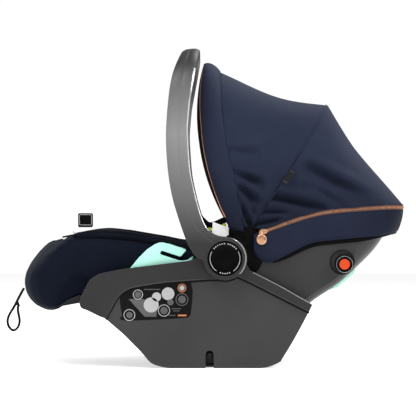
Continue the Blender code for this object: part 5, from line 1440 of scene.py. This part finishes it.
def visor(edge, seam):
    """Padded band in front of the hood, with a black edge binding and a copper piping."""
    shares = [0.0, 0.03, 0.08, 0.16, 0.26, 0.38, 0.50, 0.62, 0.74, 0.84, 0.92, 0.97, 1.0]
    rows = []
    binding_share = np.interp(np.linspace(0, 1, ARCH_COUNT), [0.0, 0.10, 0.25, 0.42, 0.5, 0.58, 0.75, 0.90, 1.0],
                              [0.03, 0.10, 0.15, 0.05, 0.02, 0.05, 0.15, 0.10, 0.03])
    start = edge + (seam - edge) * binding_share[:, None]
    for s in shares:
        row = start + (seam - start) * s
        out = np.stack([row[:, 0] * 0, row[:, 1], row[:, 2] - 0.30], axis=1)
        out /= np.linalg.norm(out, axis=1, keepdims=True)
        high = np.clip((row[:, 2] - 0.26) / 0.08, 0.25, 1)
        rows.append(row + out * (0.0080 * math.sin(math.pi * s) ** 0.6 * high)[:, None])
    band = surface("hood_visor_band", rows, "hood", thickness=0.0030)
    finish_piece(band, "hood_front", ["hood_visor"])

    lining_rows = []
    inward = np.stack([edge[:, 0] * 0, -edge[:, 1], 0.28 - edge[:, 2]], axis=1)
    inward /= np.linalg.norm(inward, axis=1, keepdims=True)
    for share, depth in ((1.02, 0.0004), (0.6, -0.0006), (0.15, -0.0004), (0.0, 0.0008), (0.05, 0.0026), (0.4, 0.0040),
                         (1.6, 0.0050), (3.0, 0.0056)):
        lining_rows.append(edge + (start - edge) * share + inward * depth)
    binding = surface("hood_edge_binding", lining_rows, "lining", thickness=0.0008)
    finish_piece(binding, "hood_front")
    piping_path = [tuple(p) for p in start - inward * 0.0010 if p[2] > PIPING_FOOT]
    piping = sweep("hood_copper_piping", piping_path, ring_section(0.0014, 10), "copper_tape", up=(1, 0, 0))
    finish_piece(piping, "hood_front")
    lining = surface("hood_visor_lining", [edge + (seam - edge) * s + inward * 0.0062 for s in (0.05, 0.35, 0.7, 1.0)],
                     "lining", thickness=0.0008)
    finish_piece(lining, "hood_front")


def seam_tag():
    """A small blank tag folded over the hood's middle seam, on the child's left."""
    low, high = np.array((0.1428, 0.3460)), np.array((0.1588, 0.3690))
    run = (high - low) / np.linalg.norm(high - low)
    side = np.array((run[1], -run[0])) * 0.0050
    corners = [low - side, low + side, high + side, high - side]
    tag = plate("hood_seam_tag", [tuple(c) for c in corners], -0.1868, -0.1856, "black", 0.0003, 2)
    finish_piece(applied(tag), "hood_mid")
    hem = run * 0.0026
    bars = [plate(f"bar_{k}", [tuple(c) for c in (at - side * 0.9 - run * 0.0004, at + side * 0.9 - run * 0.0004,
                                                  at + side * 0.9 + run * 0.0004, at - side * 0.9 + run * 0.0004)],
                  -0.1871, -0.1866, "mark_dim", 0.0001, 1) for k, at in enumerate((low + hem, high - hem))]
    finish_piece(joined("hood_tag_stitches", bars), "hood_mid")


# ---------------------------------------------------------------- inside: liner, headrest and harness
def back_side(co):
    most = np.where(co[:, 2] > 0.262, 0.178, 0.1600)
    co[:, 1] = np.clip(co[:, 1], -most, most)
    return co


def interior():
    liner = copy_of("back_cover", "back_liner_block", "liner")
    rim = [(0.0300, 0.2380), (0.0500, 0.2500), (0.0900, 0.2640), (0.1300, 0.2720), (0.1900, 0.2850), (0.2326, 0.2890),
           (0.2898, 0.2920), (0.3220, 0.2940)]
    rolls = [sweep(f"roll_{k}", [(x, y, z) for x, y, z in even_ring(smooth(rim, 4), half, 60)],
                   ring_section(radius, 14), "liner", up=(0, 0, 1))
             for k, (half, radius) in enumerate(((0.1620, 0.0130), (0.1450, 0.0150), (0.1300, 0.0150)))]
    liner = joined("back_liner", [liner, *rolls])
    liner.data.materials.clear()
    liner.data.materials.append(MATERIALS["liner"])
    puffed(liner, 0.0055, 0.0050, limit=back_side)
    for x in (0.060, 0.105, 0.150, 0.195, 0.240):
        creased(liner, [(x, -0.10), (x, 0.10)], 0.0035, 0.0040, plane=(0, 1), facing=(2, 0.3))
    finish_piece(liner, "back", ["back_cover"])

    rest = puffed(copy_of("headrest", "headrest_pad", "cover"), 0.0045, 0.0045)
    creased(rest, [(-0.1080, 0.262), (0.1080, 0.262)], 0.002, 0.0015, plane=(1, 2), facing=(0, 0.3))
    finish_piece(rest, "headrest", ["headrest"])

    for side, sign in SIDES:
        pad = puffed(copy_of(f"shoulder_pad_{side}", f"shoulder_cushion_{side}", "liner"), 0.0035, 0.0030)
        finish_piece(pad, "back", [f"shoulder_pad_{side}"])
        y = sign * 0.054
        strap = [(-0.012, y * 0.75, 0.178), (0.020, y * 0.9, 0.166), (0.060, y, 0.138), (0.095, y, 0.138),
                 (0.125, y, 0.156), (0.180, y, 0.193), (0.236, y, 0.229), (0.252, y, 0.232)]
        tape = sweep(f"harness_strap_{side}", smooth(strap, 6), flat_section(0.036, 0.0018), "webbing", up=(0, 1, 0))
        finish_piece(tape, "back")
        lap = [(-0.014, sign * 0.050, 0.170), (-0.008, sign * 0.072, 0.168), (-0.004, sign * 0.095, 0.170),
               (-0.002, sign * 0.1120, 0.176)]
        lap_tape = sweep(f"lap_tape_{side}", smooth(lap, 6), flat_section(0.036, 0.0018), "webbing", up=(1, 0, 0))
        finish_piece(lap_tape, "base", [f"lap_strap_{side}"])
        dress(f"buckle_tongue_{side}", "steel", 0.0006)
        flap(side, sign)
    dress("buckle_body", "black", 0.0016, 3)
    dress("buckle_button", "red", 0.0010, 2)
    tape = sweep("crotch_tape", smooth([(-0.040, 0.0, 0.150), (-0.036, 0.0, 0.158), (-0.030, 0.0, 0.166)], 5),
                 flat_section(0.038, 0.0024), "webbing", up=(0, 1, 0))
    finish_piece(tape, "base", ["crotch_strap"])
    crotch_pad = prism("crotch", [(-0.062, 0.148), (-0.034, 0.150), (-0.024, 0.164), (-0.060, 0.160)], -0.027, 0.027,
                       "liner")
    puffed(crotch_pad, 0.003, 0.003)
    crotch_pad.name = "crotch_pad"
    finish_piece(crotch_pad, "base")


def flap(side, sign):
    """Liner edge between the handle and the hood, with a blank white label hanging from it."""
    y = sign * 0.1560
    line = smooth([(-0.0160, 0.2820), (-0.0090, 0.2740), (0.0010, 0.2660), (0.0120, 0.2668), (0.0260, 0.2728),
                   (0.0420, 0.2800)], 6)
    edge = sweep(f"liner_edge_{side}", [(x, y, z) for x, z in line], flat_section(0.0026, 0.0095), "lining")
    finish_piece(edge, "back")
    card = plate(f"blank_label_{side}", [(0.0085, 0.2480), (0.0430, 0.2400), (0.0405, 0.2610), (0.0085, 0.2730)],
                 y + sign * 0.0030, y + sign * 0.0036, "paper", 0.0001, 1)
    finish_piece(applied(card), "back")
    for k, (x, z) in enumerate(((0.0035, 0.2590), (0.0310, 0.2665))):
        spot = plate(f"liner_tab_{side}_{k}", rounded((x - 0.0036, z - 0.0030), (x + 0.0036, z + 0.0030), 0.0012),
                     y + sign * 0.0022, y + sign * 0.0030, "mark_green", 0.0002, 1)
        finish_piece(applied(spot), "back")


def main():
    camera()
    studio()
    pull_loop()
    handle()
    base()
    front_cover()
    back_shell()
    skirt()
    zip_parts()
    hood()
    interior()


main()
